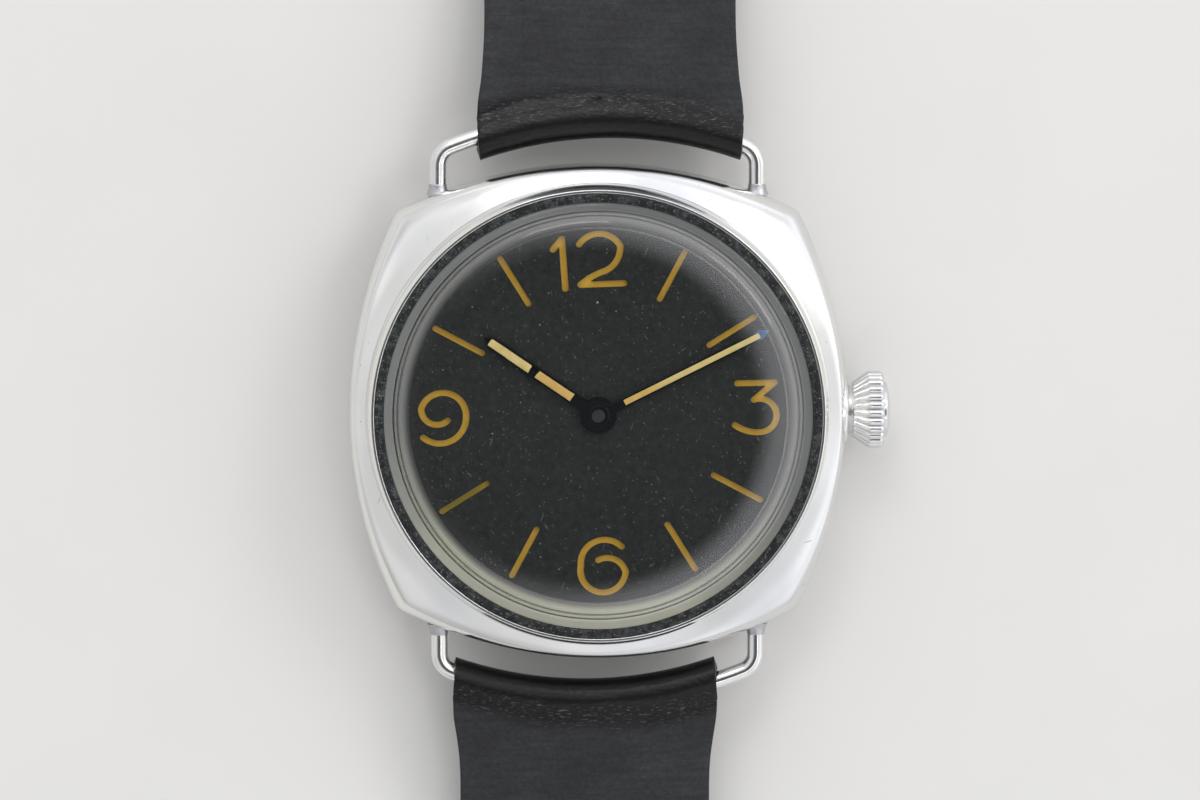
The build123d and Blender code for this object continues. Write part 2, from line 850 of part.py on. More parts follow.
# Main plate: disc with flange, raised rim, pillars, stem cuts and pockets
with BuildPart() as main_plate:
    post(centre, plate_bottom, plate_top, plate_radius)
    post(centre, plate_top - plate_flange_height, plate_top, plate_flange_radius)
    with BuildSketch(Plane.XY.offset(bridge_top)) as rim:
        Circle(plate_radius)
        Circle(plate_radius - rim_width, mode=Mode.SUBTRACT)
    extrude(rim.sketch, amount=train_gap)
    for pillar in barrel_bridge_pillars + train_bridge_pillars:
        post(pillar, bridge_top, plate_bottom, pillar_radius)
    for pillar in barrel_bridge_pillars + train_bridge_pillars:
        post(pillar, bridge_top, bridge_top + screw_depth, screw_radius, Mode.SUBTRACT)
    # Block that carries the inner end of the stem
    block_end = stem_pilot_end - running
    with BuildSketch(Plane.YZ.offset(block_end - pilot_block_length)) as block:
        with Locations((0, (plate_bottom + equator - stem_radius) / 2)):
            Rectangle(pilot_block_width, plate_bottom - equator + stem_radius)
    extrude(block.sketch, amount=pilot_block_length)
    rod((0, equator), stem_inner_end - overrun, stem_pilot_end, stem_pilot_radius + running, Mode.SUBTRACT)
    # Windows over the winding and sliding pinions, and the way for the stem
    winding_tip = winding_module * (winding_teeth / 2 + tip_share)
    window_start = winding_pinion_start - window_gap / 2
    window_end = winding_pinion_start + winding_pinion_length + window_gap
    with BuildSketch(Plane.YZ.offset(window_start)) as winding_window:
        with Locations((0, equator)):
            Rectangle(2 * (winding_tip + window_gap), 2 * (winding_tip + window_gap / 2))
    extrude(winding_window.sketch, amount=window_end - window_start, mode=Mode.SUBTRACT)
    with BuildSketch(Plane.YZ.offset(block_end)) as sliding_window:
        with Locations((0, equator)):
            Rectangle(2 * (sliding_pinion_radius + window_gap), 2 * (sliding_pinion_radius + window_gap / 2))
    extrude(sliding_window.sketch, amount=window_start - block_end, mode=Mode.SUBTRACT)
    rod((0, equator), block_end, plate_flange_radius + overrun, winding_tip, Mode.SUBTRACT)
    # Motion work recess on the dial side, with two posts left standing
    for place, teeth in ((centre, hour_teeth), (minute_place, minute_teeth), (setting_place, setting_teeth)):
        recess_radius = motion_module * (teeth / 2 + 1) + recess_margin
        post(place, recess_floor, plate_top + overrun, recess_radius, Mode.SUBTRACT)
    for place in (minute_place, setting_place):
        post(place, recess_floor, plate_top - running, motion_post_radius)
    # Holes: centre arbor, jewels, barrel pivot, dial feet
    post(centre, plate_bottom - overrun, plate_top + overrun, centre_arbor + running, Mode.SUBTRACT)
    for place in jewel_places + [balance]:
        post(place, plate_bottom, plate_bottom + jewel_height, jewel_radius, Mode.SUBTRACT)
    post(barrel, plate_bottom - overrun, plate_bottom + jewel_height, arbor_radius + running, Mode.SUBTRACT)
    for foot in dial_feet:
        foot_hole_floor = dial_level - dial_foot_length - running
        post(foot, foot_hole_floor, plate_top + overrun, dial_foot_radius, Mode.SUBTRACT)
    # Pocket and pivot hole of the setting lever
    pocket_top = plate_bottom + setting_lever_thickness + 2 * running
    stud_place = (stem_groove_place, 0)
    with BuildSketch(Plane.XY.offset(plate_bottom)) as lever_pocket:
        with Locations(setting_pivot):
            Circle(setting_lever_radius + setting_pocket_gap)
        pocket_width = 2 * (setting_lever_radius + setting_pocket_gap)
        with Locations((stem_groove_place, setting_pivot[1] / 2)):
            Rectangle(pocket_width + overrun, -setting_pivot[1] + overrun)
    extrude(lever_pocket.sketch, amount=pocket_top - plate_bottom, mode=Mode.SUBTRACT)
    pivot_hole_top = pocket_top + setting_lever_thickness
    post(setting_pivot, pocket_top, pivot_hole_top, thick_pivot_radius + running, Mode.SUBTRACT)
write_piece(main_plate, "main_plate")


def bridge_blank(outline, face_level, thickness):
    """Bridge blank: the movement's disc cut to a straight-sided outline."""
    with BuildSketch(Plane.XY.offset(face_level)) as blank:
        with BuildLine():
            Polyline(*outline, close=True)
        make_face()
        Circle(plate_radius, mode=Mode.INTERSECT)
    extrude(blank.sketch, amount=thickness)


# Barrel bridge with sunk seats for ratchet wheel, crown wheel and click
split_top = (plate_radius * bridge_split_shares[0][0], plate_radius * bridge_split_shares[0][1])
split_low = (plate_radius * bridge_split_shares[1][0], plate_radius * bridge_split_shares[1][1])
bridge_corner = plate_radius * bridge_corner_share
wheel_seat = bridge_face + winding_wheel_thickness + running
ratchet_tip = winding_module * (ratchet_teeth / 2 + tip_share)
crown_wheel_tip = winding_module * (crown_wheel_teeth / 2 + tip_share)
with BuildPart() as barrel_bridge:
    bridge_blank(
        [split_top, split_low, (bridge_corner, split_low[1]), (bridge_corner, bridge_corner)],
        bridge_face,
        bridge_thickness,
    )
    post(barrel, bridge_face - overrun, wheel_seat, ratchet_tip + recess_margin, Mode.SUBTRACT)
    post(crown_wheel_place, bridge_face - overrun, wheel_seat, crown_wheel_tip + recess_margin, Mode.SUBTRACT)
    post(click_place, bridge_face - overrun, wheel_seat, click_pocket_radius, Mode.SUBTRACT)
    # Room above the raised teeth of the crown wheel
    tooth_seat = wheel_seat + crown_wheel_tooth_rise + running
    with BuildSketch(Plane((crown_wheel_place[0], 0, wheel_seat - running))) as tooth_groove:
        Circle(crown_wheel_tip + recess_margin)
        Circle(crown_wheel_radius - winding_module * root_share - recess_margin, mode=Mode.SUBTRACT)
    extrude(tooth_groove.sketch, amount=tooth_seat - wheel_seat + running, mode=Mode.SUBTRACT)
    post(barrel, bridge_face - overrun, bridge_top + overrun, arbor_radius + running, Mode.SUBTRACT)
    post(centre, bridge_face - overrun, bridge_top + overrun, thick_pivot_radius + running, Mode.SUBTRACT)
    for pillar in barrel_bridge_pillars:
        post(pillar, bridge_face - overrun, bridge_top + overrun, screw_radius, Mode.SUBTRACT)
    with BuildSketch(Plane.YZ.offset(window_start)) as bridge_window:
        with Locations((0, equator)):
            Rectangle(2 * (winding_tip + window_gap), 2 * (winding_tip + window_gap / 2))
    extrude(bridge_window.sketch, amount=window_end - window_start, mode=Mode.SUBTRACT)
    post(click_place, wheel_seat - overrun, bridge_top + overrun, thick_pivot_radius + running, Mode.SUBTRACT)
write_piece(barrel_bridge, "barrel_bridge")

# Train bridge, shaped to stop short of the balance
with BuildPart() as train_bridge:
    side_points = [(plate_radius * x, plate_radius * y) for x, y in train_side_shares]
    bridge_blank(
        [
            (-bridge_corner, bridge_corner),
            (split_top[0] - bridge_gap, split_top[1]),
            (split_low[0] - bridge_gap, split_low[1] - bridge_gap),
            side_points[0],
            side_points[1],
            (-bridge_corner, -bridge_corner),
        ],
        bridge_face,
        bridge_thickness,
    )
    for place in (third, fourth, escape):
        post(place, bridge_top - jewel_height, bridge_top + overrun, jewel_radius, Mode.SUBTRACT)
    for pillar in train_bridge_pillars:
        post(pillar, bridge_face - overrun, bridge_top + overrun, screw_radius, Mode.SUBTRACT)
write_piece(train_bridge, "train_bridge")


def hull_arm(start, start_radius, end, end_radius, level):
    """Face of a tapering arm round two centres."""
    with BuildSketch(Plane.XY.offset(level)) as arm:
        with Locations(start):
            Circle(start_radius)
        with Locations(end):
            Circle(end_radius)
        make_hull()
    return arm.sketch


# Balance cock, its foot on the main plate, with the hairspring stud
balance_bottom = bridge_top
hairspring_level = cock_face + cock_thickness + headroom
stud_place_balance = polar(balance, hairspring_outer + 2 * stud_radius, 0)
with BuildPart() as balance_cock:
    cock_arm = hull_arm(cock_foot, cock_foot_radius, balance, cock_end_radius, cock_face)
    extrude(cock_arm, amount=cock_thickness)
    post(stud_place_balance, cock_face, cock_face + cock_thickness, 3 * stud_radius)
    with BuildSketch(Plane.XY.offset(cock_face)) as stud_bridge:
        with BuildLine():
            Polyline(balance, stud_place_balance)
        trace(line_width=4 * stud_radius)
    extrude(stud_bridge.sketch, amount=cock_thickness)
    post(cock_foot, cock_face, plate_bottom, cock_foot_radius)
    post(stud_place_balance, cock_face, hairspring_level + hairspring_height, stud_radius)
    post(balance, cock_face - overrun, cock_face + cock_thickness + overrun, jewel_radius, Mode.SUBTRACT)
    post(cock_foot, cock_face - overrun, cock_face + screw_depth, screw_radius, Mode.SUBTRACT)
write_piece(balance_cock, "balance_cock")

# Pallet cock over the pallet fork
pallet_level = equator - 3 * fine_thickness
pallet_cock_top = pallet_level - headroom
with BuildPart() as pallet_cock:
    arm_level = pallet_cock_top - pallet_cock_thickness
    with BuildSketch(Plane.XY.offset(arm_level)) as pallet_arm:
        stroke([pallet_cock_foot, pallet], pallet_cock_width)
    extrude(pallet_arm.sketch, amount=pallet_cock_thickness)
    post(pallet_cock_foot, arm_level, plate_bottom, pallet_cock_radius)
    post(pallet, arm_level - overrun, pallet_cock_top + overrun, pivot_radius + running, Mode.SUBTRACT)
    post(pallet_cock_foot, arm_level - overrun, pallet_cock_top, small_screw_radius, Mode.SUBTRACT)
write_piece(pallet_cock, "pallet_cock")


def slotted_screw(place, head_level, head_radius, shank_radius, shank_length):
    """Slotted screw whose head lies under the surface that it holds."""
    post(place, head_level - screw_head_height, head_level, head_radius)
    post(place, head_level, head_level + shank_length, shank_radius)
    with Locations((place[0], place[1], head_level - screw_head_height)):
        Box(
            2 * head_radius,
            screw_slot,
            screw_head_height / 2,
            align=(Align.CENTER, Align.CENTER, Align.MIN),
            mode=Mode.SUBTRACT,
        )


# Bridge screws, one group
with BuildPart() as bridge_screws:
    for pillar in barrel_bridge_pillars + train_bridge_pillars:
        slotted_screw(pillar, bridge_face, screw_head_radius, screw_radius, bridge_thickness + screw_depth)
    slotted_screw(cock_foot, cock_face, screw_head_radius, screw_radius, screw_depth)
    small_head_radius = pallet_cock_width / 2
    slotted_screw(pallet_cock_foot, arm_level, small_head_radius, small_screw_radius, pallet_cock_thickness)
write_piece(bridge_screws, "bridge_screws")

# Jewels of the train, pallet fork and balance, one group
with BuildPart() as jewels:
    jewel_bore = pivot_radius + running
    for place in jewel_places + [balance]:
        post(place, plate_bottom, plate_bottom + jewel_height, jewel_radius)
        post(place, plate_bottom - overrun, plate_bottom + jewel_height, jewel_bore, Mode.SUBTRACT)
    for place in (third, fourth, escape):
        post(place, bridge_top - jewel_height, bridge_top, jewel_radius)
        post(place, bridge_top - jewel_height, bridge_top + overrun, jewel_bore, Mode.SUBTRACT)
    post(balance, cock_face, cock_face + cock_thickness, jewel_radius)
    post(balance, cock_face - overrun, cock_face + cock_thickness + overrun, jewel_bore, Mode.SUBTRACT)
write_piece(jewels, "jewels")

# Barrel: toothed drum open towards the bridge, closed by a snapped-in cover
drum_radius = barrel_module * barrel_teeth / 2 - barrel_flange
barrel_bottom = bridge_top + headroom
barrel_top = barrel_bottom + barrel_height
barrel_phase = 0
centre_phase = meshing_phase(barrel_phase, barrel_teeth, barrel_angle + 180, centre_leaves)
tooth_level = barrel_top - barrel_tooth_band - barrel_floor
with BuildPart() as barrel_drum:
    post(barrel, barrel_bottom, barrel_top, drum_radius)
    extrude(
        gear_face(barrel, tooth_level, barrel_teeth, barrel_module, barrel_phase, drum_radius - barrel_wall),
        amount=barrel_tooth_band,
    )
    post(barrel, barrel_bottom - overrun, barrel_top - barrel_floor, drum_radius - barrel_wall, Mode.SUBTRACT)
    post(barrel, barrel_bottom, barrel_top + overrun, arbor_radius + running, Mode.SUBTRACT)
write_piece(barrel_drum, "barrel_drum")

with BuildPart() as barrel_cover:
    post(barrel, barrel_bottom, barrel_bottom + barrel_cover_thickness, drum_radius - barrel_wall)
    post(barrel, barrel_bottom - overrun, barrel_top, arbor_radius + running, Mode.SUBTRACT)
write_piece(barrel_cover, "barrel_cover")

spring_bottom = barrel_bottom + barrel_cover_thickness + running
spring_top = barrel_top - barrel_floor - running
with BuildPart() as mainspring:
    extrude(
        spiral_face(
            barrel,
            spring_bottom,
            arbor_core_radius + spring_thickness / 2 + spring_margin,
            drum_radius - barrel_wall - spring_margin - spring_pitch / 2,
            spring_pitch,
            spring_thickness,
        ),
        amount=spring_top - spring_bottom,
    )
write_piece(mainspring, "mainspring")

with BuildPart() as barrel_arbor:
    post(barrel, spring_bottom, spring_top, arbor_core_radius)
    post(barrel, wheel_seat - running, plate_bottom + jewel_height - running, arbor_radius)
    with BuildSketch(Plane((barrel[0], barrel[1], bridge_face))) as square:
        Rectangle(arbor_square, arbor_square)
        Circle(arbor_radius, mode=Mode.INTERSECT)
    extrude(square.sketch, amount=wheel_seat - running - bridge_face)
    screw_hole_top = bridge_face + winding_wheel_thickness
    post(barrel, bridge_face - overrun, screw_hole_top, small_screw_radius, Mode.SUBTRACT)
write_piece(barrel_arbor, "barrel_arbor")

# Ratchet wheel on the arbor's square, crown wheel on its core
ratchet_direction = degrees(atan2(barrel[1], barrel[0] - crown_wheel_place[0]))
ratchet_phase = meshing_phase(0, crown_wheel_teeth, ratchet_direction, ratchet_teeth)
with BuildPart() as ratchet_wheel:
    extrude(
        gear_face(barrel, bridge_face, ratchet_teeth, winding_module, ratchet_phase, small_screw_radius),
        amount=winding_wheel_thickness,
    )
    with BuildSketch(Plane((barrel[0], barrel[1], bridge_face))) as square_hole:
        Rectangle(arbor_square, arbor_square)
        Circle(arbor_radius, mode=Mode.INTERSECT)
    extrude(square_hole.sketch, amount=winding_wheel_thickness, mode=Mode.SUBTRACT)
write_piece(ratchet_wheel, "ratchet_wheel")

with BuildPart() as ratchet_screw:
    slotted_screw(barrel, bridge_face, core_head_radius, small_screw_radius, winding_wheel_thickness)
write_piece(ratchet_screw, "ratchet_screw")

with BuildPart() as crown_wheel:
    ring_inner = crown_wheel_radius - winding_module * root_share
    core_bore = core_radius + running
    extrude(
        gear_face(crown_wheel_place, bridge_face, crown_wheel_teeth, winding_module, 0, core_bore),
        amount=winding_wheel_thickness + crown_wheel_tooth_rise,
    )
    post(
        crown_wheel_place,
        bridge_face + winding_wheel_thickness,
        bridge_top,
        ring_inner,
        Mode.SUBTRACT,
    )
write_piece(crown_wheel, "crown_wheel")

with BuildPart() as crown_wheel_core:
    post(crown_wheel_place, bridge_face, wheel_seat, core_radius)
    slotted_screw(crown_wheel_place, bridge_face, core_head_radius, core_radius, winding_wheel_thickness)
write_piece(crown_wheel_core, "crown_wheel_core")

# Click and its bent spring
to_ratchet = click_angle + 180
click_reach = click_gap - winding_module * tip_share + click_bite
with BuildPart() as click:
    post(click_place, bridge_face, bridge_face + winding_wheel_thickness, click_radius)
    with BuildSketch(Plane.XY.offset(bridge_face)) as beak:
        with BuildLine():
            Polyline(
                polar(click_place, click_beak_width / 2, to_ratchet + 90),
                polar(click_place, click_reach, to_ratchet),
                polar(click_place, click_beak_width / 2, to_ratchet - 90),
                close=True,
            )
        make_face()
    extrude(beak.sketch, amount=winding_wheel_thickness)
    post(click_place, bridge_face, bridge_top - running, thick_pivot_radius)
write_piece(click, "click")

with BuildPart() as click_spring:
    with BuildSketch(Plane((click_place[0], click_place[1], bridge_face))) as bow:
        Circle(click_pocket_radius)
        Circle(click_pocket_radius - click_spring_width, mode=Mode.SUBTRACT)
        with Locations(polar((0, 0), click_pocket_radius, to_ratchet)):
            Rectangle(
                2 * click_pocket_radius,
                4 * click_pocket_radius,
                rotation=to_ratchet,
                mode=Mode.SUBTRACT,
            )
    extrude(bow.sketch, amount=winding_wheel_thickness)
write_piece(click_spring, "click_spring")

# Winding pinion, one gap facing the crown wheel, and the sliding pinion
pinion_pitch_radius = winding_module * winding_teeth / 2
with BuildPart() as winding_pinion:
    winding_phase = -90 + 180 / winding_teeth
    winding_bore = stem_radius + stem_clearance
    winding_profile = gear_face((0, 0), 0, winding_teeth, winding_module, winding_phase, winding_bore)
    pinion_plane = Plane((winding_pinion_start, 0, equator), x_dir=(0, 1, 0), z_dir=(1, 0, 0))
    extrude(pinion_plane * winding_profile, amount=winding_pinion_length)
write_piece(winding_pinion, "winding_pinion")

with BuildPart() as sliding_pinion:
    sliding_pinion_end = sliding_pinion_start + sliding_pinion_length
    rod((0, equator), sliding_pinion_start, sliding_pinion_end, sliding_pinion_radius)
    groove_middle = sliding_pinion_start + sliding_pinion_length / 2
    with BuildSketch(Plane.YZ.offset(groove_middle - sliding_pinion_length / 8)) as waist:
        with Locations((0, equator)):
            Circle(sliding_pinion_radius + overrun)
            Circle((sliding_pinion_radius + stem_radius) / 2, mode=Mode.SUBTRACT)
    extrude(waist.sketch, amount=sliding_pinion_length / 4, mode=Mode.SUBTRACT)
    rod((0, equator), sliding_pinion_start - overrun, window_end, winding_bore, Mode.SUBTRACT)
write_piece(sliding_pinion, "sliding_pinion")

# Setting lever: plate in the main plate's pocket, stud in the stem's groove
with BuildPart() as setting_lever:
    lever_level = plate_bottom + running
    extrude(
        hull_arm(setting_pivot, setting_lever_radius, stud_place, setting_lever_width / 2, lever_level),
        amount=setting_lever_thickness,
    )
    post(setting_pivot, lever_level, pocket_top + setting_lever_thickness - running, thick_pivot_radius)
    post(stud_place, equator + stem_groove_radius + running, lever_level, setting_stud_radius)
write_piece(setting_lever, "setting_lever")

# Centre wheel: near the main plate, its arbor carrying the cannon pinion
wheel_top = plate_bottom - headroom
wheel_level = wheel_top - wheel_thickness
third_phase = meshing_phase(centre_phase, centre_teeth, third_angle, third_leaves)
cannon_end = minute_hand_level + 2 * hand_thickness
with BuildPart() as centre_wheel:
    extrude(
        gear_face(centre, wheel_level, centre_teeth, centre_module, centre_phase, centre_arbor / 2),
        amount=wheel_thickness,
    )
    centre_rim = centre_module * centre_teeth / 2 * wheel_rim_share
    spokes(centre, wheel_level, wheel_thickness, centre_rim, 2 * wheel_hub_radius, 0)
    extrude(
        gear_face(
            centre,
            tooth_level - running,
            centre_leaves,
            barrel_module,
            centre_phase,
            centre_arbor / 2,
        ),
        amount=wheel_level - tooth_level + running,
    )
    post(centre, bridge_top + running, cannon_end - 3 * hand_thickness, centre_arbor)
    post(centre, bridge_face + running, bridge_top + running, thick_pivot_radius)
write_piece(centre_wheel, "centre_wheel")


def train_arbor(place):
    """Arbor between the jewels of bridge and plate."""
    post(place, bridge_top + running, plate_bottom - running, arbor_thin)
    post(place, bridge_top - jewel_height / 2, bridge_top + running, pivot_radius)
    post(place, plate_bottom - running, plate_bottom + jewel_height / 2, pivot_radius)


# Third wheel: low wheel, pinion at the centre wheel's level
third_level = bridge_top + third_headroom
with BuildPart() as third_wheel:
    extrude(
        gear_face(third, third_level, third_teeth, third_module, third_phase, arbor_thin / 2),
        amount=fine_thickness,
    )
    third_rim = third_module * third_teeth / 2 * wheel_rim_share
    spokes(third, third_level, fine_thickness, third_rim, wheel_hub_radius, 0)
    extrude(
        gear_face(
            third,
            wheel_top - pinion_length,
            third_leaves,
            centre_module,
            third_phase,
            arbor_thin / 2,
        ),
        amount=pinion_length + running,
    )
    train_arbor(third)
write_piece(third_wheel, "third_wheel")

# Fourth wheel: above the third wheel, pinion beside it
fourth_phase = meshing_phase(third_phase, third_teeth, fourth_angle, fourth_leaves)
fourth_level = equator - fine_thickness
with BuildPart() as fourth_wheel:
    extrude(
        gear_face(fourth, fourth_level, fourth_teeth, fourth_module, fourth_phase, arbor_thin / 2),
        amount=fine_thickness,
    )
    fourth_rim = fourth_module * fourth_teeth / 2 * wheel_rim_share
    spokes(fourth, fourth_level, fine_thickness, fourth_rim, wheel_hub_radius, 0)
    extrude(
        gear_face(
            fourth,
            third_level - running,
            fourth_leaves,
            third_module,
            fourth_phase,
            arbor_thin / 2,
        ),
        amount=pinion_length,
    )
    train_arbor(fourth)
write_piece(fourth_wheel, "fourth_wheel")

# Escape wheel: fifteen leaning points
escape_phase = meshing_phase(fourth_phase, fourth_teeth, escape_angle, escape_leaves)
tooth_step = 360 / escape_tooth_count
with BuildPart() as escape_wheel:
    escape_outline = []
    for tooth in range(escape_tooth_count):
        escape_outline.append(polar((0, 0), escape_root_radius, tooth * tooth_step - tooth_step / 4))
        escape_outline.append(polar((0, 0), escape_radius, tooth * tooth_step + escape_tooth_lean))
        escape_outline.append(polar((0, 0), escape_root_radius, tooth * tooth_step + tooth_step / 4))
    with BuildSketch(Plane((escape[0], escape[1], pallet_level))) as escape_face:
        with BuildLine():
            Polyline(*escape_outline, close=True)
        make_face()
    extrude(escape_face.sketch, amount=fine_thickness)
    spokes(escape, pallet_level, fine_thickness, escape_root_radius * wheel_rim_share, escape_hub_radius, 0)
    extrude(
        gear_face(
            escape,
            fourth_level - running,
            escape_leaves,
            fourth_module,
            escape_phase,
            pivot_radius / 2,
        ),
        amount=pinion_length,
    )
    train_arbor(escape)
write_piece(escape_wheel, "escape_wheel")

# Pallet fork: lever, two arms with stones, notch for the roller pin
with BuildPart() as pallet_fork:
    stone_reach = escape_radius + stone_gap
    stone_tips = [polar(escape, stone_reach, escapement_angle + side * stone_angle) for side in (-1, 1)]
    stone_backs = [
        polar(escape, stone_reach + stone_length, escapement_angle + side * stone_angle) for side in (-1, 1)
    ]
    horn = polar(pallet, lever_length, escapement_angle)
    with BuildSketch(Plane.XY.offset(pallet_level)) as fork_face:
        stroke([pallet, horn], lever_width)
        for tip, back in zip(stone_tips, stone_backs):
            with BuildLine() as stone_line:
                Line(tip, back)
            trace(stone_line.line, line_width=stone_width)
            stroke([pallet, back], lever_width)
        with Locations(horn):
            Circle(roller_pin_reach * fork_head_share)
        pin_place = polar(balance, roller_pin_reach, escapement_angle + 180)
        notch_width_fork = 2 * (roller_pin_radius + notch_gap)
        notch_start = polar(pin_place, -2 * roller_pin_radius, escapement_angle)
        with BuildLine() as notch_line:
            Line(notch_start, polar(pin_place, overrun, escapement_angle))
        trace(notch_line.line, line_width=notch_width_fork, mode=Mode.SUBTRACT)
    extrude(fork_face.sketch, amount=fine_thickness)
    post(pallet, pallet_level - headroom, plate_bottom - running, arbor_thin)
    post(pallet, arm_level, pallet_level - headroom, pivot_radius)
    post(pallet, plate_bottom - running, plate_bottom + jewel_height / 2, pivot_radius)
write_piece(pallet_fork, "pallet_fork")

# Balance: rim, crossbar, staff, roller and its pin
with BuildPart() as balance_wheel:
    with BuildSketch(Plane((balance[0], balance[1], balance_bottom))) as balance_face:
        Circle(balance_radius)
        Circle(balance_radius - balance_rim, mode=Mode.SUBTRACT)
        Rectangle(2 * balance_radius - balance_rim, balance_arm)
    extrude(balance_face.sketch, amount=balance_height)
    roller_level = pallet_level - running - roller_thickness
    post(balance, roller_level, roller_level + roller_thickness, roller_radius)
    post(balance, hairspring_level, plate_bottom - running, staff_radius)
    post(balance, cock_face + cock_thickness / 2, hairspring_level, pivot_radius)
    post(balance, plate_bottom - running, plate_bottom + jewel_height / 2, pivot_radius)
    post(pin_place, roller_level, pallet_level + roller_pin_overlap, roller_pin_radius)
write_piece(balance_wheel, "balance_wheel")

with BuildPart() as hairspring:
    extrude(
        spiral_face(
            balance,
            hairspring_level,
            hairspring_inner,
            hairspring_outer,
            hairspring_pitch,
            hairspring_thickness,
        ),
        amount=hairspring_height,
    )
write_piece(hairspring, "hairspring")

# Regulator: ring under the cock's face with a long pointer
with BuildPart() as regulator:
    with BuildSketch(Plane((balance[0], balance[1], cock_face - regulator_thickness))) as regulator_face:
        Circle(regulator_radius)
        stroke([(0, 0), polar((0, 0), regulator_length, regulator_angle)], regulator_width)
        Circle(regulator_bore, mode=Mode.SUBTRACT)
    extrude(regulator_face.sketch, amount=regulator_thickness)
write_piece(regulator, "regulator")

# Motion work under the dial
cannon_phase = 0
minute_phase = meshing_phase(cannon_phase, cannon_leaves, minute_wheel_angle, minute_teeth)
setting_phase = meshing_phase(minute_phase, minute_teeth, setting_wheel_angle, setting_teeth)
minute_span = hypot(minute_place[0], minute_place[1])
hour_module = 2 * minute_span / (minute_leaves + hour_teeth)
hour_phase = meshing_phase(minute_phase, minute_leaves, minute_wheel_angle + 180, hour_teeth)
cannon_bottom = recess_floor + cannon_level
hour_bottom = recess_floor + hour_level
hour_pipe_bore = cannon_pipe_radius + running
hour_pipe_radius = hour_pipe_bore + hour_pipe_wall
hour_pipe_top = hour_hand_level + hand_thickness + running
with BuildPart() as cannon_pinion:
    cannon_bore = centre_arbor + stem_clearance / 2
    extrude(
        gear_face(centre, cannon_bottom, cannon_leaves, motion_module, cannon_phase, cannon_bore),
        amount=hour_bottom - cannon_bottom - running,
    )
    post(centre, hour_bottom - 2 * running, minute_hand_level, cannon_pipe_radius)
    post(centre, minute_hand_level, cannon_end, cannon_tip_radius)
    post(centre, cannon_bottom, cannon_end - 2 * hand_thickness, cannon_bore, Mode.SUBTRACT)
write_piece(cannon_pinion, "cannon_pinion")

motion_bore = motion_post_radius + running
with BuildPart() as minute_wheel:
    minute_bottom = recess_floor + minute_level
    extrude(
        gear_face(minute_place, minute_bottom, minute_teeth, motion_module, minute_phase, motion_bore),
        amount=motion_thickness,
    )
    extrude(
        gear_face(minute_place, minute_bottom, minute_leaves, hour_module, minute_phase, motion_bore),
        amount=hour_level - minute_level + motion_thickness,
    )
write_piece(minute_wheel, "minute_wheel")

with BuildPart() as hour_wheel:
    extrude(
        gear_face(centre, hour_bottom, hour_teeth, hour_module, hour_phase, hour_pipe_bore),
        amount=motion_thickness,
    )
    post(centre, hour_bottom, hour_pipe_top, hour_pipe_radius)
    post(centre, hour_bottom, hour_pipe_top, hour_pipe_bore, Mode.SUBTRACT)
write_piece(hour_wheel, "hour_wheel")

with BuildPart() as setting_wheel:
    extrude(
        gear_face(setting_place, minute_bottom, setting_teeth, motion_module, setting_phase, motion_bore),
        amount=motion_thickness,
    )
write_piece(setting_wheel, "setting_wheel")


def hand_windows(angle, runs, width):
    """The long windows in a hand that the lume fills."""
    for start, end in runs:
        with Locations(polar((0, 0), (start + end) / 2, angle)):
            Rectangle(end - start, width, rotation=angle)


def build_hand(name, level, angle, hub_radius, bore, width, reach, runs, lume_width):
    """Pencil hand with open windows, and its lume inlay."""
    with BuildSketch(Plane.XY.offset(level)) as windows:
        hand_windows(angle, runs, lume_width)
    with BuildPart() as hand:
        with BuildSketch(Plane.XY.offset(level)) as outline:
            Circle(hub_radius)
            with BuildLine():
                shoulder = reach - hand_tip_length
                edge = degrees(atan2(width / 2, shoulder))
                Polyline(
                    polar((0, 0), width / 2, angle + 90),
                    polar((0, 0), hypot(shoulder, width / 2), angle + edge),
                    polar((0, 0), reach, angle),
                    polar((0, 0), hypot(shoulder, width / 2), angle - edge),
                    polar((0, 0), width / 2, angle - 90),
                    close=True,
                )
            make_face()
            hand_windows(angle, runs, lume_width)
            Circle(bore, mode=Mode.SUBTRACT)
        extrude(outline.sketch, amount=hand_thickness)
        extrude(windows.sketch, amount=hand_thickness, mode=Mode.SUBTRACT)
    write_piece(hand, name)
    with BuildPart() as lume:
        extrude(windows.sketch, amount=hand_thickness)
    write_piece(lume, name + "_lume")


build_hand(
    "hour_hand",
    hour_hand_level,
    hour_hand_angle,
    hour_hub_radius,
    hour_pipe_radius,
    hour_hand_width,
    hour_hand_reach,
    hour_lume_runs,
    hour_lume_width,
)
build_hand(
    "minute_hand",
    minute_hand_level,
    minute_hand_angle,
    minute_hub_radius,
    cannon_tip_radius,
    minute_hand_width,
    minute_hand_reach,
    minute_lume_runs,
    minute_lume_width,
)

# Strap
arch_centre_reach = bar_reach - bar_arch_radius


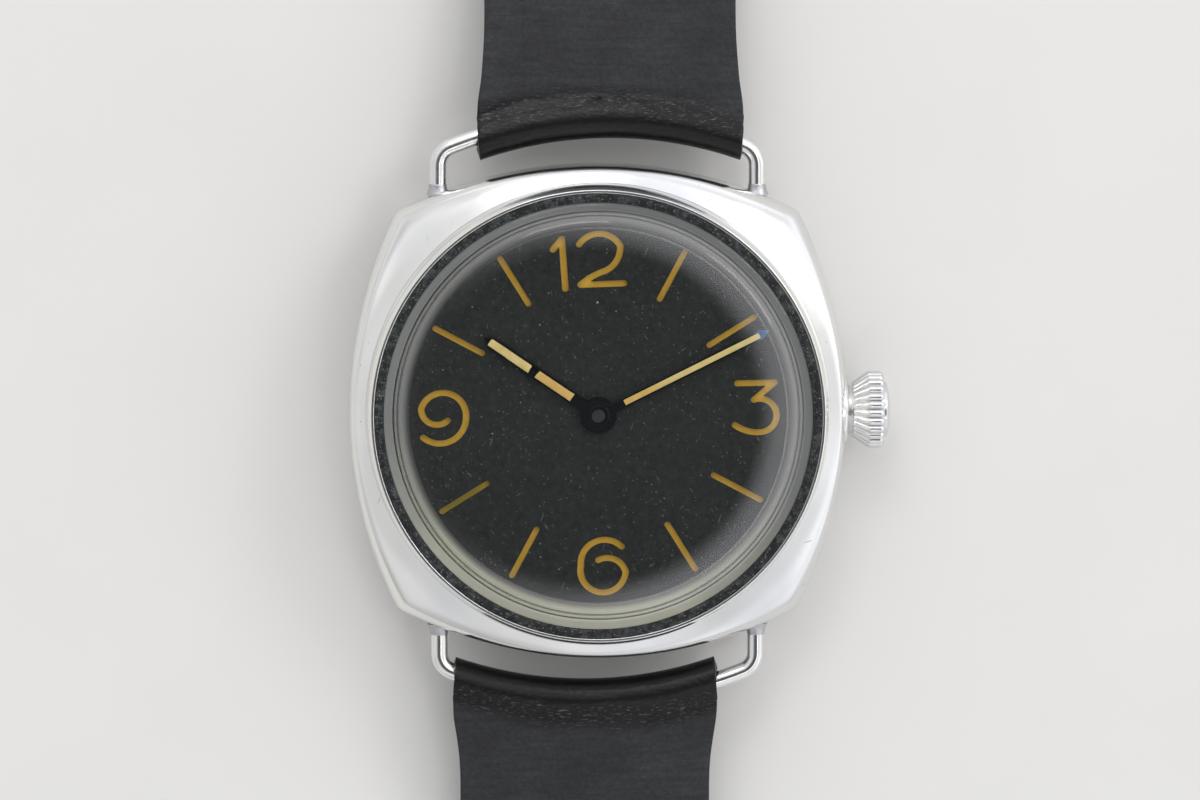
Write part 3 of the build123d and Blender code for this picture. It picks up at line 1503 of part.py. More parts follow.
def strap_outline(side, length, pointed):
    """Plan of a strap half: arched inner edge, shoulders and a plain or rounded end."""
    inner_radius = bar_arch_radius + wire_radius
    start = fold_width / 2
    shift = side * strap_shift
    end_y = bar_reach + length
    straight_end = end_y - tip_length if pointed else end_y
    inner_right, inner_left = shift + start, shift - start
    with BuildSketch() as plan:
        with BuildLine():
            right_y = arch_centre_reach + sqrt(inner_radius**2 - inner_right**2)
            left_y = arch_centre_reach + sqrt(inner_radius**2 - inner_left**2)
            ThreePointArc(
                (inner_right, side * right_y),
                (0, side * (arch_centre_reach + inner_radius)),
                (inner_left, side * left_y),
            )
            Polyline(
                (inner_left, side * left_y),
                (inner_left, side * bar_reach),
                (shift - strap_width / 2, side * (bar_reach + shoulder_run)),
                (shift - strap_end_width / 2, side * straight_end),
            )
            if pointed:
                ThreePointArc(
                    (shift - strap_end_width / 2, side * straight_end),
                    (shift, side * end_y),
                    (shift + strap_end_width / 2, side * straight_end),
                )
            else:
                Line(
                    (shift - strap_end_width / 2, side * straight_end),
                    (shift + strap_end_width / 2, side * straight_end),
                )
            Polyline(
                (shift + strap_end_width / 2, side * straight_end),
                (shift + strap_width / 2, side * (bar_reach + shoulder_run)),
                (inner_right, side * bar_reach),
                (inner_right, side * right_y),
            )
        make_face()
    return plan.sketch


def bar_roll(side, radius, mode):
    """Round bar of leather along the arched lug bar, as wide as the strap's fold."""
    half = fold_width / 2
    shift = side * strap_shift

    def on_bar(x):
        return (x, side * (arch_centre_reach + sqrt(bar_arch_radius**2 - x**2)))

    with BuildLine(Plane.XY.offset(equator)) as bar_line:
        ThreePointArc(on_bar(shift - half), on_bar(shift), on_bar(shift + half))
    with BuildSketch(Plane(bar_line.line @ 0, z_dir=bar_line.line % 0)) as section:
        Circle(radius)
    sweep(section.sketch, path=bar_line.line, mode=mode)


def build_strap(side, name, length, level, pointed):
    """One strap half: swept band cut to its plan, joined to a fold round the lug bar."""
    middle = level + strap_thickness / 2
    with BuildPart() as band:
        with BuildLine(Plane.YZ) as fall:
            FilletPolyline(
                (side * (bar_reach - fold_radius), equator),
                (side * (bar_reach + neck_run), equator - neck_drop),
                (side * (bar_reach + ground_run), middle),
                (side * (bar_reach + length), middle),
                radius=(neck_bend, ground_bend),
            )
        start_point = (0, side * (bar_reach - fold_radius), equator)
        start_plane = Plane(start_point, x_dir=(1, 0, 0), z_dir=fall.line % 0)
        with BuildSketch(start_plane) as band_section:
            Rectangle(2 * fold_width, strap_thickness)
        sweep(band_section.sketch, path=fall.line)
        extrude(strap_outline(side, length, pointed), amount=2 * equator, mode=Mode.INTERSECT)
        bar_roll(side, fold_radius, Mode.SUBTRACT)
        shift = side * strap_shift
        if pointed:
            hole_top = level + strap_thickness + overrun
            for hole in range(hole_count):
                reach = bar_reach + length - hole_first - hole * hole_pitch
                post((shift, side * reach), -overrun, hole_top, hole_radius, Mode.SUBTRACT)
        else:
            loop_place = (side * pin_reach, pin_level)
            end_half = strap_end_width / 2
            rod(loop_place, shift - end_half, shift + end_half, loop_radius)
            rod(
                loop_place,
                shift - end_half - overrun,
                shift + end_half + overrun,
                pin_radius + pin_clearance,
                Mode.SUBTRACT,
            )
            slot_reach = pin_reach - tongue_slot_length / 2 + overrun
            slot_length = tongue_slot_length + 2 * overrun + loop_radius
            with Locations((shift, side * slot_reach, pin_level)):
                Box(tongue_slot, slot_length, 4 * loop_radius, mode=Mode.SUBTRACT)
    write_piece(band, name + "_leather")
    with BuildPart() as fold:
        bar_roll(side, fold_radius, Mode.ADD)
        bar_roll(side, wire_radius + fold_gap, Mode.SUBTRACT)
    write_piece(fold, name + "_bar_fold")


buckle_level = keeper_thickness + 2 * keeper_clearance
build_strap(1, "strap_12", buckle_half, buckle_level, False)
build_strap(-1, "strap_6", long_half, 0, True)


def build_keeper(name, place, side_gap):
    """Leather keeper: a flat band round the strap with room for the other half."""
    inner_half = strap_end_width / 2 + side_gap
    bottom = buckle_level - keeper_clearance
    with BuildPart() as keeper:
        start_point = (strap_shift, pin_reach - place - keeper_length / 2, 0)
        with BuildSketch(Plane(start_point, x_dir=(-1, 0, 0), z_dir=(0, 1, 0))) as ring:
            with Locations((0, bottom + keeper_height / 2)):
                RectangleRounded(
                    2 * (inner_half + keeper_thickness),
                    keeper_height + 2 * keeper_thickness,
                    keeper_thickness,
                )
                Rectangle(2 * inner_half, keeper_height, mode=Mode.SUBTRACT)
        extrude(ring.sketch, amount=keeper_length)
    write_piece(keeper, name)


build_keeper("fixed_keeper", fixed_keeper_place, keeper_side_gap)
build_keeper("free_keeper", free_keeper_place, free_keeper_side_gap)

# Buckle: pin through the strap's end loop, frame with two ears, tongue
ear_inner = strap_end_width / 2 + ear_gap
ear_outer = ear_inner + ear_width
with BuildPart() as buckle_pin:
    rod((pin_reach, pin_level), strap_shift - ear_outer, strap_shift + ear_outer, pin_radius)
write_piece(buckle_pin, "buckle_pin")

with BuildPart() as buckle_frame:
    frame_end = pin_reach + frame_length
    with BuildSketch(Plane.XY.offset(pin_level - ear_radius)) as frame_plan:
        with Locations((strap_shift, (pin_reach + frame_end) / 2)):
            Rectangle(2 * ear_outer, frame_length)
        fillet(frame_plan.vertices().group_by(Axis.Y)[-1], frame_corner)
        with Locations((strap_shift, (pin_reach + frame_end - frame_bar) / 2)):
            Rectangle(2 * ear_inner, frame_length - frame_bar, mode=Mode.SUBTRACT)
    extrude(frame_plan.sketch, amount=frame_thickness)
    for end in (-1, 1):
        start = strap_shift + end * (ear_inner + ear_width / 2) - ear_width / 2
        rod((pin_reach, pin_level), start, start + ear_width, ear_radius)
    rod(
        (pin_reach, pin_level),
        strap_shift - ear_outer - overrun,
        strap_shift + ear_outer + overrun,
        pin_radius + pin_clearance,
        Mode.SUBTRACT,
    )
write_piece(buckle_frame, "buckle_frame")

with BuildPart() as buckle_tongue:
    ring_half = tongue_ring_width / 2
    arm_bottom = pin_level - ear_radius + frame_thickness + tongue_rest_gap
    rod((pin_reach, pin_level), strap_shift - ring_half, strap_shift + ring_half, tongue_ring_radius)
    with BuildSketch(Plane.YZ.offset(strap_shift - tongue_width / 2)) as arm_side:
        with BuildLine():
            Polyline(
                (pin_reach, arm_bottom),
                (frame_end, arm_bottom),
                (frame_end + tongue_thickness / 2, arm_bottom + tongue_thickness / 2),
                (frame_end, arm_bottom + tongue_thickness),
                (pin_reach, arm_bottom + tongue_thickness),
                close=True,
            )
        make_face()
    extrude(arm_side.sketch, amount=tongue_width)
    rod(
        (pin_reach, pin_level),
        strap_shift - ring_half - overrun,
        strap_shift + ring_half + overrun,
        pin_radius + tongue_clearance,
        Mode.SUBTRACT,
    )
write_piece(buckle_tongue, "buckle_tongue")
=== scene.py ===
import math
import random

import bmesh
import bpy
from mathutils import Matrix, Vector, noise


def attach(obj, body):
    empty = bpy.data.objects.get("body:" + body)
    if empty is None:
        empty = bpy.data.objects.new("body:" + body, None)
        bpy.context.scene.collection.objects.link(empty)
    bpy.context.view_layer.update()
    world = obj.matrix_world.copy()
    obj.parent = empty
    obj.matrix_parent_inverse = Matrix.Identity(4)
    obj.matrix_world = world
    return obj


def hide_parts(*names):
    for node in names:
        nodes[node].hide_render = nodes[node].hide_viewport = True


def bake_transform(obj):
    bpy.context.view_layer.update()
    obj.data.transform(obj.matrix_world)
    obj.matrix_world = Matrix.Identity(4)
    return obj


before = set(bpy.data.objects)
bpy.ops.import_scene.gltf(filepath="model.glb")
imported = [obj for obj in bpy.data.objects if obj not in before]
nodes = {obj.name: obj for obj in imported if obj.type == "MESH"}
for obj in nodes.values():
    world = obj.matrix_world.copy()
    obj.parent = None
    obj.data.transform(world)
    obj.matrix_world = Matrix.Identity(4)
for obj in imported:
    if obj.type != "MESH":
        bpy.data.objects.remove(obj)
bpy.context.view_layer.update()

# The studio: a plain pale table under a tent of soft light, low and bright round the watch and
# dark over the camera, so that the flat of the domed crystal throws nothing back and the black
# dial stays black, while every steel slope finds something bright.
MM = 0.001
FLOOR_DROP, FLOOR_HALF = 0.15, 1500.0
RING_STRENGTH, HORIZON_STRENGTH, ZENITH_STRENGTH = 1.0, 0.66, 0.10
HORIZON_LOW, RING_LOW = -0.02, 0.16
# The dark part of the tent: its middle, and the degrees from it over which the light returns.
DARK_TOWARDS = (0.0, -0.113, 1.0)
DARK_FULL, DARK_END = 24.0, 33.0
# The hoop in the dark part: the degrees over which it comes in and goes out.
GLOW_INNER, GLOW_OUTER, GLOW_STRENGTH = (19.6, 23.0), (24.5, 28.0), 3.0
WINDOW_DISTANCE, WINDOW_SHAPE = 0.8, 0.6


def linear(hex_colour):
    """Linear red, green, blue and alpha of an sRGB hex colour."""
    parts = [int(hex_colour[i:i + 2], 16) / 255 for i in (1, 3, 5)]
    return [p / 12.92 if p <= 0.04045 else ((p + 0.055) / 1.055) ** 2.4 for p in parts] + [1.0]


def feed(node, inputs):
    """Gives a node's inputs, in order or by name, a value, a hex colour or what drives them."""
    for name, value in inputs.items() if isinstance(inputs, dict) else enumerate(inputs):
        if isinstance(value, str):
            value = linear(value)
        if isinstance(value, bpy.types.Node):
            value = next(output for output in value.outputs if output.enabled)
        if isinstance(value, bpy.types.NodeSocket):
            node.id_data.links.new(value, node.inputs[name])
        else:
            node.inputs[name].default_value = value


def add(tree, kind, inputs=(), **settings):
    """Adds a node, of a shader kind where no other is named, with its settings and inputs."""
    node = tree.nodes.new(kind if kind.startswith(("Geometry", "Node")) else "ShaderNode" + kind)
    for name, value in settings.items():
        setattr(node, name, value)
    feed(node, inputs)
    return node


def start_material(name):
    """Empty node material: its tree, its shader and the object's own coordinates in metres."""
    material = bpy.data.materials.new(name)
    material.use_nodes = True
    tree = material.node_tree
    tree.nodes.clear()
    shader = add(tree, "BsdfPrincipled")
    add(tree, "OutputMaterial", [shader])
    return material, tree, shader, add(tree, "TexCoord").outputs["Object"]


def dress(shader, values, base, *layers, relief=()):
    """Gives a shader its values, its colours and its relief.

    Each layer is a share and the colour that it lays over the base; each bump of the relief is
    a height, a strength and a depth in mm, less than nought where what is high is sunk.
    """
    tree = shader.id_data
    for share, colour in layers:
        base = add(tree, "Mix", {0: share, 6: base, 7: colour}, data_type="RGBA")
    bumped = {}
    for height, strength, depth in relief:
        bumped["Normal"] = add(tree, "Bump", {"Height": height, "Strength": strength,
                                              "Distance": abs(depth) * MM, **bumped},
                               invert=depth < 0)
    feed(shader, {"Base Color": base, **bumped, **values})
    return base


def start_mottled(name, low, high, scale, detail, roughness=0.5, spread=(), stretch=None):
    """Material tinted between two colours by a noise, by a part of it if a spread is given.

    A stretch scales the noise by axis. The noise and the tint come with the material.
    """
    material, tree, shader, place = start_material(name)
    where = add(tree, "Mapping", {"Vector": place, "Scale": stretch}) if stretch else place
    pattern = add(tree, "TexNoise", {"Vector": where, "Scale": scale, "Detail": detail,
                                     "Roughness": roughness})
    share = add(tree, "MapRange", [pattern, *spread]) if spread else pattern
    return material, tree, shader, place, pattern, dress(shader, {}, low, (share, high))


def put(name, data):
    """Puts data in the scene as an object."""
    thing = bpy.data.objects.new(name, data)
    scene.collection.objects.link(thing)
    return thing


def cosine(degrees):
    """Cosine of an angle in degrees."""
    return math.cos(math.radians(degrees))


def sine(degrees):
    """Sine of an angle in degrees."""
    return math.sin(math.radians(degrees))


scene = bpy.context.scene
scene.view_settings.view_transform = "Standard"

floor_mesh = bpy.data.meshes.new("table_top")
floor_mesh.from_pydata([(x * FLOOR_HALF * MM, y * FLOOR_HALF * MM, -FLOOR_DROP * MM)
                        for x, y in ((-1, -1), (1, -1), (1, 1), (-1, 1))], [], [(0, 1, 2, 3)])
table_top = put("table_top", floor_mesh)
# Matt painted board: a faint mottle only.
board, tree, shader, *_ = start_mottled("matt_painted_board", "#E9E8E4", "#E4E3DF", 60.0, 3.0)
feed(shader, {"Roughness": 0.9, "Specular IOR Level": 0.2})
floor_mesh.materials.append(board)

world = bpy.data.worlds.new("soft_ring")
world.use_nodes = True
scene.world = world
tree = world.node_tree
tree.nodes.clear()
direction = add(tree, "TexCoord").outputs["Generated"]
# Height above the horizon: 0 level, 1 straight up.
parts = add(tree, "SeparateXYZ", [direction])
rise = add(tree, "MapRange", [parts.outputs["Z"], HORIZON_LOW, RING_LOW, HORIZON_STRENGTH,
                              RING_STRENGTH], interpolation_type="SMOOTHSTEP")
# How near a direction is to the middle of the dark part.
nearness = add(tree, "VectorMath", [direction, tuple(Vector(DARK_TOWARDS).normalized())],
               operation="DOT_PRODUCT")
fall = add(tree, "MapRange", [nearness, cosine(DARK_END), cosine(DARK_FULL), 1.0,
                              ZENITH_STRENGTH / RING_STRENGTH], interpolation_type="SMOOTHSTEP")
level = add(tree, "Math", [rise, fall], operation="MULTIPLY")
# Brighter from the right and the top, greyer from the left and below, as in the photograph.
sideways = add(tree, "VectorMath", [direction, (0.8, 0.6, 0.0)], operation="DOT_PRODUCT")
balance = add(tree, "MapRange", [sideways, -1.0, 1.0, 0.66, 1.34])
panels = add(tree, "TexNoise", {"Vector": direction, "Scale": 2.3, "Detail": 1.0})
panel_share = add(tree, "MapRange", [panels, 0.35, 0.65, 0.72, 1.18])
shared = add(tree, "Math", [balance, panel_share], operation="MULTIPLY")
strength = add(tree, "Math", [level, shared], operation="MULTIPLY")
# A thin bright hoop in the dark part, open towards nine, hangs as a haze in the crystal's rim.
hoop_edges = [add(tree, "MapRange", [nearness, cosine(start), cosine(end), low, high],
                  interpolation_type="SMOOTHSTEP")
              for (start, end), low, high in ((GLOW_INNER, 0.0, 1.0), (GLOW_OUTER, 1.0, 0.0))]
hoop = add(tree, "Math", hoop_edges, operation="MULTIPLY")
open_side = add(tree, "MapRange", [parts.outputs["X"], -0.3, 0.12, 0.12, 1.0])
glow = add(tree, "Math", [hoop, open_side], operation="MULTIPLY")
strength = add(tree, "Math", [glow, GLOW_STRENGTH, strength], operation="MULTIPLY_ADD")
sky = add(tree, "Background", {"Color": "#FBFBFF", "Strength": strength})
add(tree, "OutputWorld", [sky])

for name, azimuth, elevation, size, power in (
    ("window_right", 35.0, 38.0, 0.34, 0.9),
    ("window_top", 100.0, 45.0, 0.30, 0.6),
):
    lamp = bpy.data.lights.new(name, "AREA")
    lamp.shape = "RECTANGLE"
    lamp.size, lamp.size_y = size, size * WINDOW_SHAPE
    lamp.energy = power
    away = Vector((cosine(azimuth) * cosine(elevation), sine(azimuth) * cosine(elevation),
                   sine(elevation)))
    holder = put(name, lamp)
    holder.location = away * WINDOW_DISTANCE
    holder.rotation_euler = (-away).to_track_quat("-Z", "Y").to_euler()

# The camera: almost straight above the dial, leaning a little towards twelve.
CAMERA_TARGET, CAMERA_DISTANCE = Vector((0.24, 0.94, 5.6)), 560.0
CAMERA_TO_TWELVE, CAMERA_TO_NINE = 6.5, 1.0
FOCAL_LENGTH, SENSOR_WIDTH, CLIP_START = 176.8, 36.0, 0.01
camera_data = bpy.data.cameras.new("camera")
camera_data.lens = FOCAL_LENGTH
camera_data.sensor_width = SENSOR_WIDTH
camera_data.clip_start = CLIP_START
camera = put("camera", camera_data)
lean = Vector((-math.tan(math.radians(CAMERA_TO_NINE)), math.tan(math.radians(CAMERA_TO_TWELVE)),
               1.0)).normalized()
camera.location = (CAMERA_TARGET + lean * CAMERA_DISTANCE) * MM
rightwards = Vector((0, 1, 0)).cross(lean).normalized()
camera.rotation_euler = Matrix((rightwards, lean.cross(rightwards), lean)).transposed().to_euler()
scene.camera = camera

# Case middle: a cushion forged and polished in one piece of stainless steel, its
# four shallow sides meeting in soft corners; the inside is bored for the movement.
CASE_SIDE, CASE_CORNER, CORNER_SOFTNESS = 23.5, 26.9, 0.22
CASE_BOTTOM, CASE_EQUATOR, CASE_TOP = 1.3, 5.6, 9.6
CASE_FOOT, BEZEL_SEAT = 20.2, 21.95
# The upper face falls at one slope, in degrees, to an edge that is softer at the corners.
FACE_SLOPE = 20.0
CORNER_POWER, SIDE_POWER = 2.5, 5.5
# Control points of the lower wall's curve, as shares of its reach and of its drop.
LOWER_CURVE = ((1.0, 0.0), (1.0, 0.45), (0.4, 0.784), (0.0, 1.0))
CASE_COLUMNS, CASE_RINGS_UP, CASE_RINGS_DOWN = 360, 30, 18
# Points nearer than this, in metres, are one.
SAME_POINT, SAME_CAD_POINT = 1e-7, 1e-6
BACK_BORE, MOVEMENT_BORE, DIAL_BORE, SPIGOT_BORE = 19.0, 18.45, 19.2, 19.95
BACK_SEAT, DIAL_SEAT, SPIGOT_LEVEL = 2.8, 7.9, CASE_TOP - 0.45
JOINT_GROOVE = 0.07


def place_piece(name, mesh, material, slot, body, *replaced, smooth_angle=40.0):
    """Puts a finished mesh in the scene as a piece riding on a body, if it is named."""
    mesh.materials.clear()
    mesh.materials.append(material)
    for polygon in mesh.polygons:
        polygon.use_smooth = True
    if smooth_angle:
        mesh.set_sharp_from_angle(angle=math.radians(smooth_angle))
    piece = put(name, mesh)
    if body:
        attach(piece, body)
    if replaced:
        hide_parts(*replaced)
    return piece


def rework(mesh, *changes):
    """Makes changes to a mesh, each a function of its editable form."""
    work = bmesh.new()
    work.from_mesh(mesh)
    for change in changes:
        change(work)
    work.to_mesh(mesh)
    work.free()


def turn_outwards(work):
    """Turns every face outwards."""
    bmesh.ops.recalc_face_normals(work, faces=work.faces)


def grid_mesh(name, rows, closed_rows=True, closed_columns=True):
    """Mesh of quads through rows of points in millimetres, poles merged, faces outwards."""
    count = len(rows[0])
    points = [[c * MM for c in point] for row in rows for point in row]
    faces = []
    for row in range(len(rows) if closed_rows else len(rows) - 1):
        below, above = row * count, (row + 1) % len(rows) * count
        for column in range(count if closed_columns else count - 1):
            beside = (column + 1) % count
            faces.append((below + column, below + beside, above + beside, above + column))
    mesh = bpy.data.meshes.new(name)
    mesh.from_pydata(points, [], faces)
    rework(mesh, lambda work: bmesh.ops.remove_doubles(work, verts=work.verts, dist=SAME_POINT),
           turn_outwards)
    return mesh


def turned_row(radius, level, columns, along_x=False):
    """Ring of points round the watch's axis, or round the crown's."""
    row = []
    for column in range(columns):
        angle = 2 * math.pi * column / columns
        x, y = radius * math.cos(angle), radius * math.sin(angle)
        row.append((level, x, y + CASE_EQUATOR) if along_x else (x, y, level))
    return row


def soft_less(first, second, softness):
    """The lesser of two lengths, rounded where they meet."""
    share = max(softness - abs(first - second), 0.0) / softness
    return min(first, second) - share * share * softness / 4


def cushion_reach(angle):
    """Reach of the cushion's outline at its widest level, at an angle in radians."""
    half = CASE_CORNER * math.sqrt(0.5)
    arc_centre = (CASE_SIDE ** 2 - CASE_CORNER ** 2) / (2 * (CASE_SIDE - half))
    arc_radius = CASE_SIDE - arc_centre
    quarter = (angle + math.pi / 4) % (math.pi / 2) - math.pi / 4
    reaches = []
    for turn in (quarter, math.pi / 2 - abs(quarter)):
        side_step = arc_centre * math.sin(turn)
        reaches.append(arc_centre * math.cos(turn) + math.sqrt(arc_radius ** 2 - side_step ** 2))
    return soft_less(*reaches, CORNER_SOFTNESS)


def upper_wall(step, extent):
    """How far out and down the upper wall has come: a sloped face, then a rounded edge."""
    cornered = (extent - CASE_SIDE + BEZEL_SEAT) / (CASE_CORNER - CASE_SIDE)
    power = SIDE_POWER + (CORNER_POWER - SIDE_POWER) * cornered
    turn = math.pi / 2 * step / CASE_RINGS_UP
    share, fall = math.sin(turn) ** (2 / power), 1 - abs(math.cos(turn)) ** (2 / power)
    sloped = extent * math.tan(math.radians(FACE_SLOPE))
    return extent * share, sloped * share + (CASE_TOP - CASE_EQUATOR - sloped) * fall


def lower_wall(share):
    """Shares of the reach and of the drop that the lower wall has, at a share of its curve."""
    weights = ((1 - share) ** 3, 3 * share * (1 - share) ** 2, 3 * share ** 2 * (1 - share),
               share ** 3)
    return [sum(weight * control[axis] for weight, control in zip(weights, LOWER_CURVE))
            for axis in (0, 1)]


rows = [[] for ring in range(CASE_RINGS_UP + CASE_RINGS_DOWN + 1)]
for column in range(CASE_COLUMNS):
    angle = 2 * math.pi * column / CASE_COLUMNS
    widest = cushion_reach(angle)
    for ring, row in enumerate(rows):
        if ring <= CASE_RINGS_UP:
            out, down = upper_wall(ring, widest - BEZEL_SEAT)
            reach, level = BEZEL_SEAT + out, CASE_TOP - down
        else:
            share, drop = lower_wall((ring - CASE_RINGS_UP) / CASE_RINGS_DOWN)
            reach = CASE_FOOT + (widest - CASE_FOOT) * share
            level = CASE_EQUATOR - (CASE_EQUATOR - CASE_BOTTOM) * drop
        row.append((reach * math.cos(angle), reach * math.sin(angle), level))
for reach, level in (
    (BACK_BORE, CASE_BOTTOM), (BACK_BORE, BACK_SEAT), (MOVEMENT_BORE, BACK_SEAT),
    (MOVEMENT_BORE, DIAL_SEAT), (DIAL_BORE, DIAL_SEAT), (DIAL_BORE, SPIGOT_LEVEL),
    (SPIGOT_BORE, SPIGOT_LEVEL), (SPIGOT_BORE, CASE_TOP - JOINT_GROOVE),
    (BEZEL_SEAT - JOINT_GROOVE, CASE_TOP - JOINT_GROOVE),
):
    rows.append(turned_row(reach, level, CASE_COLUMNS))


def marks_in(tree, place, kinds):
    """Share of specks and scratches, one kind a row.

    A row has the turn and the size in mm of a kind's cells, the inner and outer edge of the
    mark in a cell, how few cells are marked, and how strong the strongest mark is.
    """
    marks = None
    for turn, size, inner, outer, picked, most in kinds:
        turned = add(tree, "Mapping", {"Vector": place, "Rotation": (0, 0, math.radians(turn)),
                                       "Scale": [part * MM for part in size]},
                     vector_type="TEXTURE")
        cells = add(tree, "TexVoronoi", {"Vector": turned, "Scale": 1.0})
        shape = add(tree, "MapRange", [cells, inner, outer, 1.0, 0.0])
        pick = add(tree, "SeparateColor", [cells.outputs["Color"]])
        some = add(tree, "MapRange", [pick, picked, 1.0, 0.0, most])
        mark = add(tree, "Math", [shape, some], operation="MULTIPLY")
        marks = mark if marks is None else add(tree, "Math", [marks, mark], operation="MAXIMUM")
    return marks


# Polished stainless steel, worn: bright and nearly clear, with hairlines and duller patches.
# The hairlines are drawn wider than real ones, so that they show.
polished_steel, tree, shader, place, _, metal = start_mottled(
    "polished_stainless_steel", "#EFEFEA", "#E0E1E2", 55.0, 2.0, spread=(0.4, 0.7))
wear = add(tree, "TexNoise", {"Vector": place, "Scale": 110.0, "Detail": 5.0, "Roughness": 0.65})
dullness = add(tree, "MapRange", [wear, 0.35, 0.7, 0.13, 0.26])
scratches = marks_in(tree, place, (
    (12.0, (17.0, 1.3, 3.0), 0.0, 0.07, 0.5, 0.8), (68.0, (13.0, 1.1, 3.0), 0.0, 0.07, 0.55, 0.9),
    (-41.0, (21.0, 1.5, 3.0), 0.0, 0.06, 0.5, 0.8), (-77.0, (9.0, 0.9, 3.0), 0.0, 0.08, 0.6, 0.9),
    (35.0, (30.0, 2.1, 4.0), 0.0, 0.05, 0.4, 1.0), (0.0, (0.8, 0.8, 0.8), 0.03, 0.13, 0.75, 0.6),
))
dress(shader, {"Metallic": 1.0, "Roughness": dullness}, metal, (scratches, "#9EA0A5"),
      relief=[(scratches, 0.2, -0.01)])

# The finish and a slot name, passed together to the polished pieces.
STEEL = (polished_steel, "polished_steel")
place_piece("case_body", grid_mesh("case_body", rows), *STEEL, "case", "case_middle",
            smooth_angle=35.0)

# Crown tube seat: a low turned collar standing out of the case wall at three o'clock,
# blended into it by hand.
COLLAR_RADIUS, COLLAR_INNER, COLLAR_SPREAD = 3.3, 2.3, 0.35
COLLAR_START, COLLAR_END = 21.0, 23.7
# A corner flatter than this, in degrees, isn't rounded; a fillet takes this share of a side.
FLAT_CORNER, FILLET_SHARE = 178.0, 0.45


def turned_piece(name, profile, columns, *placing, along_x=False, **look):
    """Piece turned from a closed profile of (radius, level) points."""
    mesh = grid_mesh(name, [turned_row(*point, columns, along_x) for point in profile])
    place_piece(name, mesh, *placing, **look)


def rounded(points, radius, steps=4):
    """A closed profile with each corner rounded off, by a radius or by one for each point."""
    result = []
    for index, corner in enumerate(points):
        here = Vector(corner)
        size = radius[index] if isinstance(radius, (list, tuple)) else radius
        before = Vector(points[index - 1]) - here
        after = Vector(points[(index + 1) % len(points)]) - here
        if size == 0 or min(before.length, after.length) == 0 \
                or before.angle(after) > math.radians(FLAT_CORNER):
            result.append(tuple(here))
            continue
        cut = min(size / math.tan(before.angle(after) / 2), before.length * FILLET_SHARE,
                  after.length * FILLET_SHARE)
        start, end = here + before.normalized() * cut, here + after.normalized() * cut
        for share in (step / steps for step in range(steps + 1)):
            result.append(tuple((1 - share) ** 2 * start + 2 * share * (1 - share) * here
                                + share ** 2 * end))
    return result


collar_profile = rounded(
    [(COLLAR_INNER, COLLAR_END), (COLLAR_RADIUS, COLLAR_END),
     (COLLAR_RADIUS + COLLAR_SPREAD, COLLAR_START), (COLLAR_INNER, COLLAR_START)],
    [0.1, 0.35, 0, 0],
)
turned_piece("crown_tube_collar", collar_profile, 96, *STEEL, "case", along_x=True)

# Bezel: polished steel ring pressed on the case, its outer slope running down to
# the cushion and a thin bright lip standing round the crystal's packing.
BEZEL_RADIUS, BEZEL_TOP, LIP_RADIUS, LIP_WIDTH = 21.93, 11.65, 21.1, 0.3
SPIGOT_INNER, SPIGOT_OUTER, CRYSTAL_SEAT = 19.25, 19.9, 10.2
bezel_profile = rounded(
    [(LIP_RADIUS, CRYSTAL_SEAT), (SPIGOT_INNER, CRYSTAL_SEAT), (SPIGOT_INNER, SPIGOT_LEVEL),
     (SPIGOT_OUTER, SPIGOT_LEVEL), (SPIGOT_OUTER, CASE_TOP), (BEZEL_RADIUS, CASE_TOP),
     (BEZEL_RADIUS, CASE_TOP + 0.35), (BEZEL_RADIUS - 0.09, CASE_TOP + 1.0),
     (BEZEL_RADIUS - 0.27, CASE_TOP + 1.6), (LIP_RADIUS + LIP_WIDTH, BEZEL_TOP),
     (LIP_RADIUS, BEZEL_TOP)],
    [0, 0, 0, 0, 0, 0.05, 0.4, 0.6, 0.5, 0.12, 0.08],
)
turned_piece("bezel_ring", bezel_profile, 256, *STEEL, "case", "bezel", smooth_angle=50.0)

# Packing ring: soft black sealing ring squeezed between bezel and crystal, gone
# grey with dust; cut flat on top and a little proud.
CRYSTAL_RADIUS, PACKING_TOP, PACKING_PLAY = 20.2, 11.65, 0.01
PACKING_RIDGE, PACKING_PROUD = 20.65, 0.09
packing_profile = rounded(
    [(LIP_RADIUS - PACKING_PLAY, PACKING_TOP), (LIP_RADIUS - PACKING_PLAY, CRYSTAL_SEAT),
     (CRYSTAL_RADIUS + PACKING_PLAY, CRYSTAL_SEAT), (CRYSTAL_RADIUS + PACKING_PLAY, PACKING_TOP),
     (PACKING_RIDGE, PACKING_TOP + PACKING_PROUD)],
    [0.12, 0, 0, 0.12, 0.3],
)
# Aged packing: dull charcoal with pale dust grains of about a tenth of a millimetre.
aged_packing, tree, shader, place, patches, tint = start_mottled(
    "aged_black_packing", "#191B1B", "#3F4343", 1400.0, 4.0, 0.7, spread=(0.45, 0.65))
grains = add(tree, "TexVoronoi", {"Vector": place, "Scale": 5200.0})
grain_shape = add(tree, "MapRange", [grains, 0.12, 0.36, 1.0, 0.0])
grain_pick = add(tree, "SeparateColor", [grains.outputs["Color"]])
grain_some = add(tree, "MapRange", [grain_pick, 0.3, 1.0])
dusty = add(tree, "Math", [grain_shape, grain_some], operation="MULTIPLY")
dress(shader, {"Roughness": 0.75, "Specular IOR Level": 0.3}, tint, (dusty, "#8D908A"),
      relief=[(patches, 0.5, 0.08)])
turned_piece("packing_ring", packing_profile, 256, aged_packing, "packing", "case",
             "crystal_gasket")

